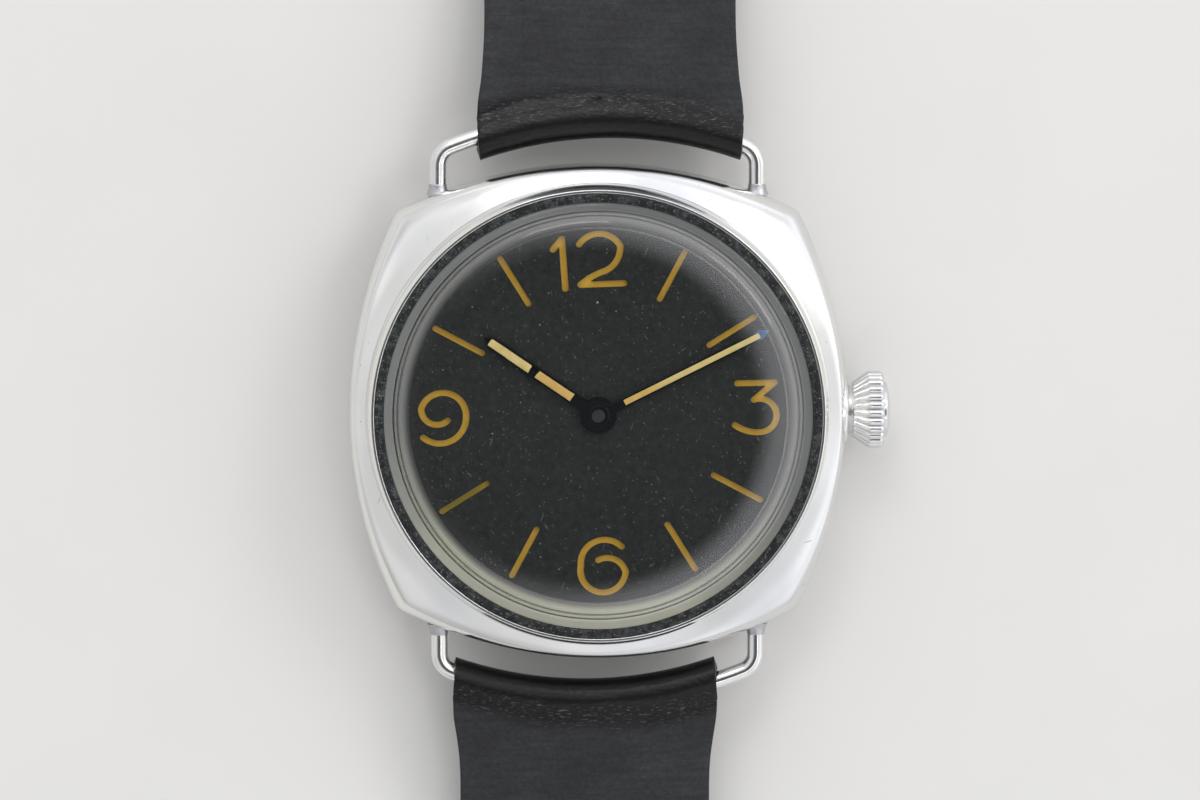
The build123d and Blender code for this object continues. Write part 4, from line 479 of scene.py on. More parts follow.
# Crystal: thick clear acrylic, turned with an upright edge, domed outside and
# hollowed inside, polished and slightly scratched by wear.
CRYSTAL_EDGE_TOP, CRYSTAL_DOME_TOP = 11.55, 13.65
CRYSTAL_FOOT_INNER, CRYSTAL_INNER_EDGE, CRYSTAL_INNER_TOP = 18.95, 10.8, 12.3
DOME_STEPS, CORNER_STEPS = 40, 12
# The hollow's last steps, which its rounded corner takes up.
CORNER_TAKES = 4


def dome(radius, edge, top, steps):
    """Points of a shallow spherical dome from its edge to its middle."""
    sphere = (radius ** 2 + (top - edge) ** 2) / (2 * (top - edge))
    full = math.asin(radius / sphere)
    turns = [full * (1 - step / steps) for step in range(steps + 1)]
    return [(sphere * math.sin(turn), top - sphere + sphere * math.cos(turn)) for turn in turns]


crystal_profile = rounded([(CRYSTAL_FOOT_INNER, CRYSTAL_SEAT), (CRYSTAL_RADIUS, CRYSTAL_SEAT),
                           (CRYSTAL_RADIUS, CRYSTAL_EDGE_TOP - 0.02),
                           (CRYSTAL_RADIUS - 0.5, CRYSTAL_EDGE_TOP + 0.1)],
                          [0.05, 0.05, 0.3, 0])[:-1]
crystal_profile += dome(CRYSTAL_RADIUS, CRYSTAL_EDGE_TOP, CRYSTAL_DOME_TOP, DOME_STEPS)[1:]
hollow = dome(CRYSTAL_FOOT_INNER, CRYSTAL_INNER_EDGE, CRYSTAL_INNER_TOP, DOME_STEPS)[::-1]
hollow_edge, corner, foot = (Vector(hollow[-CORNER_TAKES]),
                             Vector((CRYSTAL_FOOT_INNER, CRYSTAL_INNER_EDGE)),
                             Vector((CRYSTAL_FOOT_INNER, CRYSTAL_SEAT + 0.05)))
crystal_profile += hollow[:-CORNER_TAKES]
crystal_profile += [tuple((1 - t) ** 2 * hollow_edge + 2 * t * (1 - t) * corner + t * t * foot)
                    for t in (step / CORNER_STEPS for step in range(CORNER_STEPS + 1))]
# Clear acrylic: light passes straight through to the dial, and the eye sees its bend and gloss.
acrylic, tree, shader, place = start_material("clear_acrylic")
feed(shader, {"Base Color": "#FBFBF7", "Transmission Weight": 1.0, "IOR": 1.49, "Roughness": 0.0})
rays = add(tree, "LightPath")
shadowed = add(tree, "Math", [rays.outputs["Is Shadow Ray"], rays.outputs["Is Diffuse Ray"]],
               operation="MAXIMUM")
clear = add(tree, "BsdfTransparent", {"Color": "#F4F4F0"})
through = add(tree, "MixShader", [shadowed, shader, clear])
feed(tree.nodes["Material Output"], [through])
turned_piece("domed_crystal", crystal_profile, 192, acrylic, "crystal", "case", "crystal",
             smooth_angle=50.0)

# Cement and dial flange: the old pale line of cement under the crystal's foot, and the thin
# turned ring, silvered once and now cream, that holds the dial down. Both are seen through
# the thick edge of the crystal.
CEMENT_INNER, CEMENT_OUTER = 19.3, CRYSTAL_RADIUS - 0.02
CEMENT_FOOT, CEMENT_TOP = CRYSTAL_SEAT - 0.001, CRYSTAL_SEAT + 0.03
FLANGE_OPENING, FLANGE_OUTER, FLANGE_LIP, DIAL_FACE = 17.8, DIAL_BORE - 0.05, 0.35, 9.1
# Radii between which the painted shade on the flange's inner slope fades out.
SHADE_FULL_RADIUS, SHADE_END_RADIUS = 17.8, 18.9
cement_profile = [(CEMENT_INNER, CEMENT_FOOT), (CEMENT_OUTER, CEMENT_FOOT),
                  (CEMENT_OUTER, CEMENT_TOP), (CEMENT_INNER, CEMENT_TOP)]
flange_profile = rounded(
    [(FLANGE_OPENING, DIAL_FACE), (FLANGE_OUTER, DIAL_FACE), (FLANGE_OUTER, CRYSTAL_SEAT),
     (CRYSTAL_FOOT_INNER - FLANGE_LIP, CRYSTAL_SEAT), (FLANGE_OPENING, DIAL_FACE + FLANGE_LIP)],
    [0.05, 0, 0, 0.1, 0.08],
)
# Silvered brass gone cream: soft and satin, unevenly yellowed.
silvered, tree, shader, place, _, cream = start_mottled(
    "aged_silvered_ring", "#C9C9B6", "#A2A49A", 240.0, 4.0)
# Painted shade: greyer everywhere but below.
quarter = add(tree, "VectorMath", [place, (8.0, 50.0, 0.0)], operation="DOT_PRODUCT")
side_shade = add(tree, "MapRange", [quarter, -0.85, -0.2, 0.0, 0.9])
# Its inner slope is darkened with painted shade, which fades into the dial.
flat_place = add(tree, "VectorMath", [place, (1.0, 1.0, 0.0)], operation="MULTIPLY")
from_axis = add(tree, "VectorMath", [flat_place], operation="LENGTH")
inner_shade = add(tree, "MapRange", [from_axis, SHADE_FULL_RADIUS * MM, SHADE_END_RADIUS * MM, 1.0, 0.0],
              interpolation_type="SMOOTHSTEP")
dress(shader, {"Roughness": 0.55}, cream, (side_shade, "#808286"), (inner_shade, "#2A2C30"))
turned_piece("crystal_cement", cement_profile, 192, silvered, "pale_ring", "case")
turned_piece("pale_flange_ring", flange_profile, 256, silvered, "pale_ring", "case",
             "dial_flange")

# Dial: two plates. The upper one is brass painted matt black, with the figures and
# bars cut through; the lower one shows its lume coat through them. Both stay as machined.
DAMP_CENTRE, DAMP_FULL, DAMP_END = (-0.0128, -0.0078, 0.0085), 0.0015, 0.0045
# Matt black paint: charcoal, with dust specks and fine hair scratches under the glass.
matt_black, tree, shader, place, _, paint = start_mottled(
    "matt_black_dial_paint", "#101214", "#2D3033", 1800.0, 4.0, 0.85, spread=(0.3, 0.7))
# Dust specks of three sizes, then hairs and scratches along five directions.
marks = marks_in(tree, place, (
    (0.0, (0.42, 0.42, 5.0), 0.06, 0.2, 0.35, 0.4), (0.0, (0.9, 0.9, 5.0), 0.04, 0.11, 0.5, 0.6),
    (0.0, (2.6, 2.6, 8.0), 0.02, 0.045, 0.5, 1.0), (33.0, (3.4, 0.42, 9.0), 0.02, 0.13, 0.7, 0.35),
    (-52.0, (2.8, 0.37, 9.0), 0.02, 0.13, 0.7, 0.4),
    (97.0, (2.4, 0.33, 9.0), 0.02, 0.13, 0.7, 0.35),
    (71.0, (5.4, 0.40, 9.0), 0.02, 0.12, 0.8, 0.5),
    (-18.0, (2.2, 0.35, 9.0), 0.02, 0.13, 0.7, 0.35),
))
dress(shader, {"Roughness": 0.8, "Specular IOR Level": 0.25}, paint, (marks, "#B9BBB6"))

# Aged lume coat: dry ochre paste, mottled, greener where damp has got at it.
ochre_lume, tree, shader, place, paste, ochre = start_mottled(
    "aged_ochre_lume", "#D6A02C", "#F8CC54", 900.0, 4.0, 0.7)
from_damp = add(tree, "VectorMath", [place, DAMP_CENTRE], operation="DISTANCE")
damp = add(tree, "MapRange", [from_damp, DAMP_FULL, DAMP_END, 0.75, 0.0])
dress(shader, {"Roughness": 0.85}, ochre, (damp, "#7E7A2C"), relief=[(paste, 0.4, 0.05)])


def finish_nodes(material, *names):
    """Gives machined nodes their finish."""
    for name in names:
        nodes[name].data.materials.clear()
        nodes[name].data.materials.append(material)


finish_nodes(matt_black, "dial_plate")
finish_nodes(ochre_lume, "lume_plate")

# Hands: pencil hands stamped from blued steel, painted near black so that only a bevel shows its
# blue, with a painted blue glint at the minute hand's tip; each has windows filled with lume paste,
# and the minute hand a turned boss.
# A machined node's faces are one below the first angle, and meet sharply above the second.
SAME_FACE, SHARP_EDGE = 1.0, 38.0
HAND_THICKNESS, HOUR_LEVEL, MINUTE_LEVEL = 0.2, 9.5, 9.9
HOUR_ANGLE, MINUTE_ANGLE = 145.7, 26.5
# Distances from the hub, in metres, over which the painted blue glint comes in at the tip and the
# paste turns pale.
GLINT_START, GLINT_FULL, WARM_END, WARM_GONE = 0.0192, 0.0199, 0.0115, 0.0127
LUME_RISE, LUME_STEPS, LUME_SIDES, LUME_END = 0.05, 24, 10, 1.2
LUME_SINK, LUME_FOOT = 0.01, 0.02
BOSS_BORE, BOSS_RADIUS, BOSS_CAP = 0.61, 1.12, 0.95
BOSS_FOOT, BOSS_EDGE, BOSS_TOP = MINUTE_LEVEL + 0.1, MINUTE_LEVEL + 0.28, MINUTE_LEVEL + 0.4
# Dark blued steel, painted near black as the dark sky overhead shows in it; the clear blue at the
# minute hand's tip is a painted glint.
blued_steel, tree, shader, place, film, tint = start_mottled(
    "dark_blued_steel", "#0E1012", "#1B222C", 500.0, 3.0)
# Painted glint: clear blue laid over the tip by its distance from the hub.
from_hub = add(tree, "VectorMath", [place], operation="LENGTH")
glint_share = add(tree, "MapRange", [from_hub, GLINT_START, GLINT_FULL, 0.0, 1.0])
dull = add(tree, "MapRange", {0: film, 3: 0.28, 4: 0.45})
dress(shader, {"Metallic": 1.0, "Roughness": dull}, tint, (glint_share, "#4488D0"))

# Hand lume: paste gone pale tan, more orange towards the hub, dry and slightly grainy.
tan_lume, tree, shader, place, paste, pale = start_mottled(
    "aged_tan_lume", "#CDB36A", "#F2DFA2", 1300.0, 3.0)
from_hub = add(tree, "VectorMath", [place], operation="LENGTH")
near_hub = add(tree, "MapRange", [from_hub, WARM_END, WARM_GONE, 0.5, 0.0])
dress(shader, {"Roughness": 0.85}, pale, (near_hub, "#D89F3A"), relief=[(paste, 0.4, 0.04)])


def add_modifier(piece, name, kind, **settings):
    """Adds a modifier with its settings."""
    modifier = piece.modifiers.new(name, kind)
    for setting, value in settings.items():
        setattr(modifier, setting, value)


def softened_copy(name, node, material, slot, body, width, segments):
    """A machined node's shape with its sharp edges broken, in place of the node."""
    mesh = nodes[node].data.copy()
    mesh.name = name
    if mesh.has_custom_normals:
        mesh.attributes.remove(mesh.attributes["custom_normal"])
    rework(mesh,
           lambda work: bmesh.ops.remove_doubles(work, verts=work.verts, dist=SAME_CAD_POINT),
           lambda work: bmesh.ops.dissolve_limit(work, angle_limit=math.radians(SAME_FACE),
                                                 verts=work.verts, edges=work.edges))
    piece = place_piece(name, mesh, material, slot, body, node, smooth_angle=None)
    add_modifier(piece, "broken_edges", "BEVEL", width=width * MM, segments=segments,
                 limit_method="ANGLE", angle_limit=math.radians(SHARP_EDGE), harden_normals=True)


def lume_inlay(name, angle, level, runs, width, body, node):
    """Bars of paste with rounded tops, filling the windows of a hand."""
    along, across = Vector((cosine(angle), sine(angle))), Vector((-sine(angle), cosine(angle)))
    work = bmesh.new()
    for start, end in runs:
        bar_rows = []
        for step in range(LUME_STEPS + 1):
            share = step / LUME_STEPS
            reach = start + (end - start) * share
            close = min(1.0, min(share, 1 - share) * LUME_STEPS / LUME_END)
            row = []
            for side in range(LUME_SIDES + 1):
                offset = -1 + 2 * side / LUME_SIDES
                swell = LUME_RISE * (1 - offset ** 4) * close ** 0.5
                spot = along * reach + across * offset * width / 2
                row.append((*spot, level + HAND_THICKNESS - LUME_SINK + swell))
            row += [(*row[-1][:2], level + LUME_FOOT), (*row[0][:2], level + LUME_FOOT)]
            bar_rows.append(row)
        bar = grid_mesh(name, bar_rows, closed_rows=False)
        work.from_mesh(bar)
        bpy.data.meshes.remove(bar)
    bmesh.ops.holes_fill(work, edges=[edge for edge in work.edges if edge.is_boundary])
    turn_outwards(work)
    mesh = bpy.data.meshes.new(name)
    work.to_mesh(mesh)
    work.free()
    place_piece(name, mesh, tan_lume, "hand_lume", body, node, smooth_angle=50.0)


for hand in ("hour_hand", "minute_hand"):
    softened_copy(hand + "_blade", hand, blued_steel, "hand_steel", hand, 0.05, 2)
lume_inlay("hour_hand_paste", HOUR_ANGLE, HOUR_LEVEL, [(2.95, 6.95), (7.7, 12.35)], 0.79,
           "hour_hand", "hour_hand_lume")
lume_inlay("minute_hand_paste", MINUTE_ANGLE, MINUTE_LEVEL, [(2.75, 16.9)], 0.52,
           "minute_hand", "minute_hand_lume")
boss_profile = rounded([(BOSS_BORE, BOSS_FOOT), (BOSS_RADIUS, BOSS_FOOT),
                        (BOSS_RADIUS, BOSS_EDGE), (BOSS_CAP, BOSS_TOP), (BOSS_BORE, BOSS_TOP)],
                       [0, 0, 0.04, 0.05, 0.03])
turned_piece("minute_hand_boss", boss_profile, 72, blued_steel, "hand_steel", "minute_hand")

# Crown: steel, turned as a cone, a band and a small domed cap, with round-topped ribs
# milled along cone and band; it screws on the winding stem.
CROWN_START, CROWN_CONE_END, CROWN_BAND_END = 24.47, 25.85, 27.0
CROWN_SMALL, CROWN_LARGE, CROWN_RECESS, STEM_BORE = 2.65, 3.65, 1.95, 0.8
CROWN_RECESS_END, STEM_SEAT, CAP_RIM, CROWN_END = 25.97, 27.02, 27.13, 27.83
RIB_COUNT, RIB_RADIUS, RIB_SINK = 26, 0.40, 0.42
CAP_RADIUS = 2.65
crown_profile = [(0.0, STEM_SEAT), (STEM_BORE, STEM_SEAT), (STEM_BORE, CROWN_RECESS_END),
                 (CROWN_RECESS, CROWN_RECESS_END), (CROWN_RECESS, CROWN_START)]
crown_profile += rounded(
    [(CROWN_RECESS, CROWN_START), (CROWN_SMALL - 0.12, CROWN_START),
     (CROWN_LARGE - RIB_SINK, CROWN_CONE_END), (CROWN_LARGE - RIB_SINK, CROWN_BAND_END),
     (CAP_RADIUS + 0.12, CAP_RIM - 0.02), (CAP_RADIUS, CAP_RIM),
     (CAP_RADIUS, CAP_RIM + 0.28), (CAP_RADIUS - 0.45, CAP_RIM + 0.5)],
    [0, 0.08, 0.1, 0.12, 0.03, 0.02, 0.12, 0],
)[1:-1]
crown_profile += dome(CAP_RADIUS - 0.1, CAP_RIM + 0.36, CROWN_END, 10)[1:]


def start_growth(name, sizes):
    """Empty geometry tree with a float input for each named size, and its input node."""
    tree = bpy.data.node_groups.new(name, "GeometryNodeTree")
    for socket, way, kind in (("Geometry", "INPUT", "Geometry"),
                              *((size, "INPUT", "Float") for size in sizes),
                              ("Material", "INPUT", "Material"),
                              ("Geometry", "OUTPUT", "Geometry")):
        tree.interface.new_socket(socket, in_out=way, socket_type="NodeSocket" + kind)
    return tree, add(tree, "NodeGroupInput")


def grown_mesh(name, seed, tree, group, shape, values):
    """Plain mesh, in metres, of what a geometry tree's shape makes of a seed in millimetres."""
    real = add(tree, "GeometryNodeRealizeInstances", [shape])
    dressed = add(tree, "GeometryNodeSetMaterial", {0: real, "Material": group.outputs["Material"]})
    add(tree, "NodeGroupOutput", [dressed])
    host = put(name + "_host", seed)
    growth = host.modifiers.new("growth", "NODES")
    growth.node_group = tree
    for item in tree.interface.items_tree:
        if item.in_out == "INPUT" and item.name in values:
            growth[item.identifier] = values[item.name]
    bpy.context.view_layer.update()
    evaluated = host.evaluated_get(bpy.context.evaluated_depsgraph_get())
    mesh = bpy.data.meshes.new_from_object(evaluated)
    mesh.name = name
    bpy.data.objects.remove(host)
    mesh.transform(Matrix.Diagonal((MM, MM, MM, 1)))
    return mesh


rib_sizes = {"Start": CROWN_START, "Cone End": CROWN_CONE_END,
             "Band End": CROWN_BAND_END - RIB_RADIUS * 0.6,
             "Small Reach": CROWN_SMALL - RIB_RADIUS, "Large Reach": CROWN_LARGE - RIB_RADIUS,
             "Rib Radius": RIB_RADIUS, "Count": float(RIB_COUNT), "Axis Height": CASE_EQUATOR}
tree, group = start_growth("crown_ribs", rib_sizes)
start, middle, end = [
    add(tree, "CombineXYZ", {"X": group.outputs[along], "Z": group.outputs[reach]})
    for along, reach in (("Start", "Small Reach"), ("Cone End", "Large Reach"),
                         ("Band End", "Large Reach"))
]
radius, count = group.outputs["Rib Radius"], group.outputs["Count"]
section = add(tree, "GeometryNodeCurvePrimitiveCircle", {"Resolution": 12, "Radius": radius})
rib_parts = []
for first, second in ((start, middle), (middle, end)):
    line = add(tree, "GeometryNodeCurvePrimitiveLine", {"Start": first, "End": second})
    rib_parts.append(add(tree, "GeometryNodeCurveToMesh",
                         {"Curve": line, "Profile Curve": section, "Fill Caps": True}))
for corner in (middle, end):
    ball = add(tree, "GeometryNodeMeshUVSphere", {"Segments": 12, "Rings": 8, "Radius": radius})
    rib_parts.append(add(tree, "GeometryNodeTransform", {"Geometry": ball, "Translation": corner}))
rib = add(tree, "GeometryNodeJoinGeometry")
for part in rib_parts:
    feed(rib, [part])
axis_point = add(tree, "CombineXYZ", {"Z": group.outputs["Axis Height"]})
points = add(tree, "GeometryNodePoints", {"Count": count, "Position": axis_point})
step = add(tree, "Math", [2 * math.pi, count], operation="DIVIDE")
turned_by = add(tree, "Math", [add(tree, "GeometryNodeInputIndex"), step], operation="MULTIPLY")
turn_vector = add(tree, "CombineXYZ", {"X": turned_by})
ribs = add(tree, "GeometryNodeInstanceOnPoints", {"Points": points, "Instance": rib,
                                                  "Rotation": turn_vector})
rib_mesh = grown_mesh("crown_ribs", bpy.data.meshes.new("crown_ribs_seed"), tree, group, ribs,
                      {**rib_sizes, "Material": polished_steel})
turned_piece("crown_body", crown_profile, 120, *STEEL, "crown", "crown", along_x=True)
place_piece("crown_ribs", rib_mesh, *STEEL, "crown", smooth_angle=50.0)

# Wire lugs: hard steel wire bent to a bow at each end of the case, its crossbar
# arched outwards, both feet let into the case wall and soft-soldered there.
WIRE_RADIUS, LUG_REACH, LUG_FOOT, LUG_BEND = 0.8, 15.1, 19.1, 1.9
BAR_REACH, BAR_ARCH = 27.771, 37.6
ARC_STEPS, BEND_STEPS = 24, 10
SOLDER_START, SOLDER_RUN, SOLDER_FLARE, SOLDER_FADE = 1.4, 1.1, 0.32, 2.1
SOLDER_SKIN, SOLDER_EDGE, SOLDER_SINK = 0.01, 0.03, 0.05
SOLDER_STEPS, SOLDER_COLUMNS, SOLDER_SEED = 12, 40, 11


def lug_route():
    """Centre line of the bow at twelve: leg, bend, arched bar, bend, leg."""
    arch_centre = BAR_REACH - BAR_ARCH
    inner_x = LUG_REACH - LUG_BEND
    bend_y = arch_centre + math.sqrt((BAR_ARCH - LUG_BEND) ** 2 - inner_x ** 2)
    tangent = math.atan2(bend_y - arch_centre, inner_x)
    half = [(LUG_REACH, LUG_FOOT), (LUG_REACH, (LUG_FOOT + bend_y) / 2)]
    for step in range(BEND_STEPS + 1):
        angle = tangent * step / BEND_STEPS
        half.append((inner_x + LUG_BEND * math.cos(angle), bend_y + LUG_BEND * math.sin(angle)))
    for step in range(1, ARC_STEPS + 1):
        angle = tangent + (math.pi / 2 - tangent) * step / ARC_STEPS
        half.append((BAR_ARCH * math.cos(angle), arch_centre + BAR_ARCH * math.sin(angle)))
    return half + [(-x, y) for x, y in half[-2::-1]]


def solder_rows(x, side, phase):
    """Fillet of solder round a wire's foot at x, uneven from a phase on, closed inside."""
    rows = []
    for step in range(SOLDER_STEPS + 1):
        share = step / SOLDER_STEPS
        flare = SOLDER_FLARE * (1 - share) ** SOLDER_FADE
        row = []
        for column in range(SOLDER_COLUMNS):
            angle = 2 * math.pi * column / SOLDER_COLUMNS
            uneven = 1 + 0.22 * math.sin(angle + phase) + 0.1 * math.sin(3 * angle + 2 * phase)
            radius = WIRE_RADIUS - SOLDER_SKIN + flare * uneven + (SOLDER_EDGE if step else 0)
            if step == SOLDER_STEPS:
                radius = WIRE_RADIUS - SOLDER_SINK
            row.append((x + radius * math.cos(angle),
                        side * (LUG_FOOT + SOLDER_START + SOLDER_RUN * share),
                        CASE_EQUATOR + radius * math.sin(angle)))
        rows.append(row)
    inner = [(x + (spot[0] - x) * 0.5, side * (LUG_FOOT + SOLDER_START),
              CASE_EQUATOR + (spot[2] - CASE_EQUATOR) * 0.5) for spot in rows[0]]
    return [inner] + rows


# Soft solder: dull grey, mottled darker and lighter, run up the wire and into the corner.
soft_solder, tree, shader, place, run_marks, tint = start_mottled(
    "soft_solder", "#9C9DA0", "#D9D9DA", 900.0, 4.0, 0.7)
dress(shader, {"Metallic": 1.0, "Roughness": 0.38}, tint, relief=[(run_marks, 0.5, 0.05)])

randomness = random.Random(SOLDER_SEED)
for side, hour in ((1, "12"), (-1, "6")):
    route = bpy.data.curves.new("lug_route_" + hour, "CURVE")
    route.dimensions = "3D"
    spline = route.splines.new("POLY")
    route_points = lug_route()
    spline.points.add(len(route_points) - 1)
    for point, (x, y) in zip(spline.points, route_points):
        point.co = (x, side * y, CASE_EQUATOR, 1)
    tree, group = start_growth("bent_wire_" + hour, ("Wire Radius",))
    section = add(tree, "GeometryNodeCurvePrimitiveCircle",
                  {"Resolution": 28, "Radius": group.outputs["Wire Radius"]})
    swept = add(tree, "GeometryNodeCurveToMesh", {"Curve": group.outputs["Geometry"],
                                                  "Profile Curve": section, "Fill Caps": True})
    wire_mesh = grown_mesh("lug_wire_" + hour, route, tree, group, swept,
                           {"Wire Radius": WIRE_RADIUS, "Material": polished_steel})
    rework(wire_mesh, turn_outwards)
    place_piece("lug_wire_" + hour, wire_mesh, *STEEL, "case", "wire_lug_" + hour)
    for end, name in ((-1, f"lug_solder_{hour}_left"), (1, f"lug_solder_{hour}_right")):
        rows = solder_rows(end * LUG_REACH, side, randomness.uniform(0, 6.28))
        place_piece(name, grid_mesh(name, rows), soft_solder, "polished_steel", "case",
                    smooth_angle=70.0)

# Strap: each half is one strip of black calf, folded round its lug bar and glued back
# to back; the fold is pulled to the bar's arch and creases just outside it.
LEATHER, ROLL_MIDDLE, GLUE_HALF, UNDER_ROLL = 1.08, 1.38, 0.55, 2.1
FOLD_WIDTH, STRAP_WIDTH, STRAP_END_WIDTH, STRAP_SHIFT = 24.9, 23.8, 22.0, 1.2
BULGE, BULGE_MIDDLE, BULGE_SPREAD, UNDER_NARROWER = 0.22, 3.2, 1.8, 0.12
NECK_RUN, NECK_DROP, GROUND_RUN, SHOULDER_RUN = 3.8, 0.3, 18.8, 10.0
CREASE_RUN, CREASE_MIDDLE, CREASE_SPREAD = 2.6, 1.5, 0.9
ARCH_RUN, ARCH_FADE, ARCH_HALF = 1.5, 20.0, 18.0
BUCKLE_HALF, LONG_HALF = 75.0, 115.0
TIP_LENGTH, TIP_POWER, TIP_BLUNT = 14.0, 2.2, 0.0004
PIN_LEVEL, LOOP_MIDDLE, LOOP_RUN = 2.1, 1.55, 4.2
SLOT_WIDTH, SLOT_LENGTH, SLOT_SHIFT = 3.6, 5.2, 1.7
HOLE_COUNT, HOLE_PITCH, HOLE_FIRST, HOLE_RADIUS = 7, 7.0, 24.0, 1.1
# How far outside an outline a point still counts as inside it, for a clean rim.
HOLE_CATCH, SLOT_CATCH = 0.12, 0.16
STRAP_COLUMNS, FOLD_STEPS = 72, 20
# The strip's rows are finest up to a run from the bar, and by its loop, holes and tip.
FINE_RUN, FINE_STEP, LOOP_STEP, HOLE_STEP, TIP_STEP = 7.0, 0.2, 0.3, 0.22, 0.4
SHORT_HALF_STEP, LONG_HALF_STEP = 0.9, 0.8
WRINKLE_DEPTH, WAVE_DEPTH, EDGE_WOBBLE = 0.10, 0.035, 0.16
# Where the leather's look changes, in metres outwards from the bar, and how far it wanders.
ROLL_END, ROLL_SOFT = 0.0004, 0.0004
CREASE_END, CREASE_BEFORE, CREASE_AFTER = 0.0026, 0.0006, 0.0009
WANDER = 0.0010

# Black calf: near black and glossy where it rolls round the bar, that black painted shade;
# drawn into fine wrinkles at the crease outside it, their black valleys painted shade and their
# pale ridges painted highlights;
# and grey and dull where it lies flat, that grey a painted sheen mixed with rubbed wear.
black_calf, tree, shader, place = start_material("black_calf_leather")
spot = add(tree, "SeparateXYZ", [place])
# Distance outwards from the arched bar.
out = add(tree, "Math", [spot.outputs["Y"]], operation="ABSOLUTE")
across = add(tree, "Math", [spot.outputs["X"], 2.0], operation="POWER")
bow = add(tree, "Math", [across, 2 * BAR_ARCH * MM], operation="DIVIDE")
bowed = add(tree, "Math", [out, bow], operation="ADD")
wander = add(tree, "TexNoise", {"Vector": place, "Scale": 230.0, "Detail": 3.0})
wandered = add(tree, "Math", [wander, WANDER, -BAR_REACH * MM - WANDER / 2],
               operation="MULTIPLY_ADD")
run = add(tree, "Math", [bowed, wandered], operation="ADD")
past_roll = add(tree, "MapRange", [run, ROLL_END - ROLL_SOFT, ROLL_END + ROLL_SOFT])
past_crease = add(tree, "MapRange", [run, CREASE_END - CREASE_BEFORE, CREASE_END + CREASE_AFTER])
rubbed = add(tree, "TexNoise", {"Vector": place, "Scale": 160.0, "Detail": 4.0, "Roughness": 0.6})
streaks, wrinkles, creases = [
    add(tree, "TexNoise", {"Vector": add(tree, "Mapping", {"Vector": place, "Scale": stretch}),
                           "Scale": 1.0, "Detail": detail, "Roughness": roughness})
    for stretch, detail, roughness in (((260.0, 2400.0, 900.0), 4.0, 0.7),
                                       ((1700.0, 6400.0, 4400.0), 3.0, 0.65),
                                       ((240.0, 1500.0, 700.0), 3.0, 0.6))
]
streaked = add(tree, "Math", [rubbed, streaks], operation="MULTIPLY")
flat_share = add(tree, "MapRange", [streaked, 0.10, 0.42])
ridge_glints = add(tree, "MapRange", [wrinkles, 0.56, 0.70])
warped = add(tree, "TexNoise", {"Vector": place, "Scale": 700.0, "Detail": 2.0})
warp = add(tree, "Mix", {0: 0.0008, 4: place, 5: warped.outputs["Color"]}, data_type="VECTOR")
pebbles = add(tree, "TexVoronoi", {"Vector": warp, "Scale": 2700.0}, feature="SMOOTH_F1")
grain = add(tree, "MapRange", [pebbles, 0.2, 0.7, 0.0, 0.35])
# Painted shade and highlights in the crease, black valleys and pale ridges; the flat's grey is a
# painted sheen mixed with rubbed wear.
crease, flat_sheen_and_wear = [
    add(tree, "Mix", {0: share, 6: low, 7: high}, data_type="RGBA")
    for share, low, high in ((ridge_glints, "#020202", "#58595B"), (flat_share, "#232425", "#38393B"))
]
gloss = add(tree, "MapRange", {0: past_crease, 3: 0.34, 4: 0.56})
pores = add(tree, "TexNoise", {"Vector": place, "Scale": 4200.0, "Detail": 3.0})
# The roll's near black base is painted shade.
dress(shader, {"Roughness": gloss, "Specular IOR Level": 0.3}, "#100E0D",
      (past_roll, crease), (past_crease, flat_sheen_and_wear), (grain, "#0E0E10"),
      relief=[(pebbles, 0.35, -0.07), (creases, 0.4, 0.14), (pores, 0.2, 0.03)])


def smooth_step(value):
    """Smooth rise from 0 to 1."""
    value = min(max(value, 0.0), 1.0)
    return value * value * (3 - 2 * value)


def smooth_noise(x, y, z):
    """Smooth noise from -1 to 1."""
    return noise.noise(Vector((x, y, z)))


def hump(run, middle, spread):
    """Bell of height 1 round a run."""
    return math.exp(-((run - middle) / spread) ** 2)


def middle_level(run, level):
    """Height of the joint between a strap half's layers, at a run outwards from the bar."""
    ground = level + LEATHER
    slope_in = NECK_DROP / (NECK_RUN + UNDER_ROLL)
    neck_level = CASE_EQUATOR - NECK_DROP
    slope_out = (neck_level - ground) / (GROUND_RUN - NECK_RUN)
    upper = CASE_EQUATOR - slope_in * (run + UNDER_ROLL)
    slanted = neck_level - slope_out * (run - NECK_RUN)
    over = -soft_less(-ground, -slanted, 0.9)
    return soft_less(upper, over, 0.5) if run < GROUND_RUN else over


def layer_at(run, level, pin_run):
    """Distance of a layer's middle from the joint, and the joint's height, at a run."""
    half = GLUE_HALF + (ROLL_MIDDLE - GLUE_HALF) * (1 - smooth_step(run / CREASE_RUN))
    joint = middle_level(run, level)
    if pin_run is not None:
        close = 1 - smooth_step((pin_run - run) / LOOP_RUN)
        half += (LOOP_MIDDLE - GLUE_HALF) * close
        joint += (PIN_LEVEL - level - LEATHER) * close
    return half, joint


def next_step(run, length, pin_run):
    """How far on the strip's next row lies: closer at folds, holes and ends."""
    if run < FINE_RUN:
        return FINE_STEP
    if pin_run is not None:
        return LOOP_STEP if run > length - FINE_RUN else SHORT_HALF_STEP
    from_first = length - HOLE_FIRST - run
    from_hole = abs((from_first + HOLE_PITCH / 2) % HOLE_PITCH - HOLE_PITCH / 2)
    if -2 < from_first < (HOLE_COUNT - 1) * HOLE_PITCH + 2 and from_hole < HOLE_RADIUS + 0.6:
        return HOLE_STEP
    return TIP_STEP if run > length - TIP_LENGTH else LONG_HALF_STEP


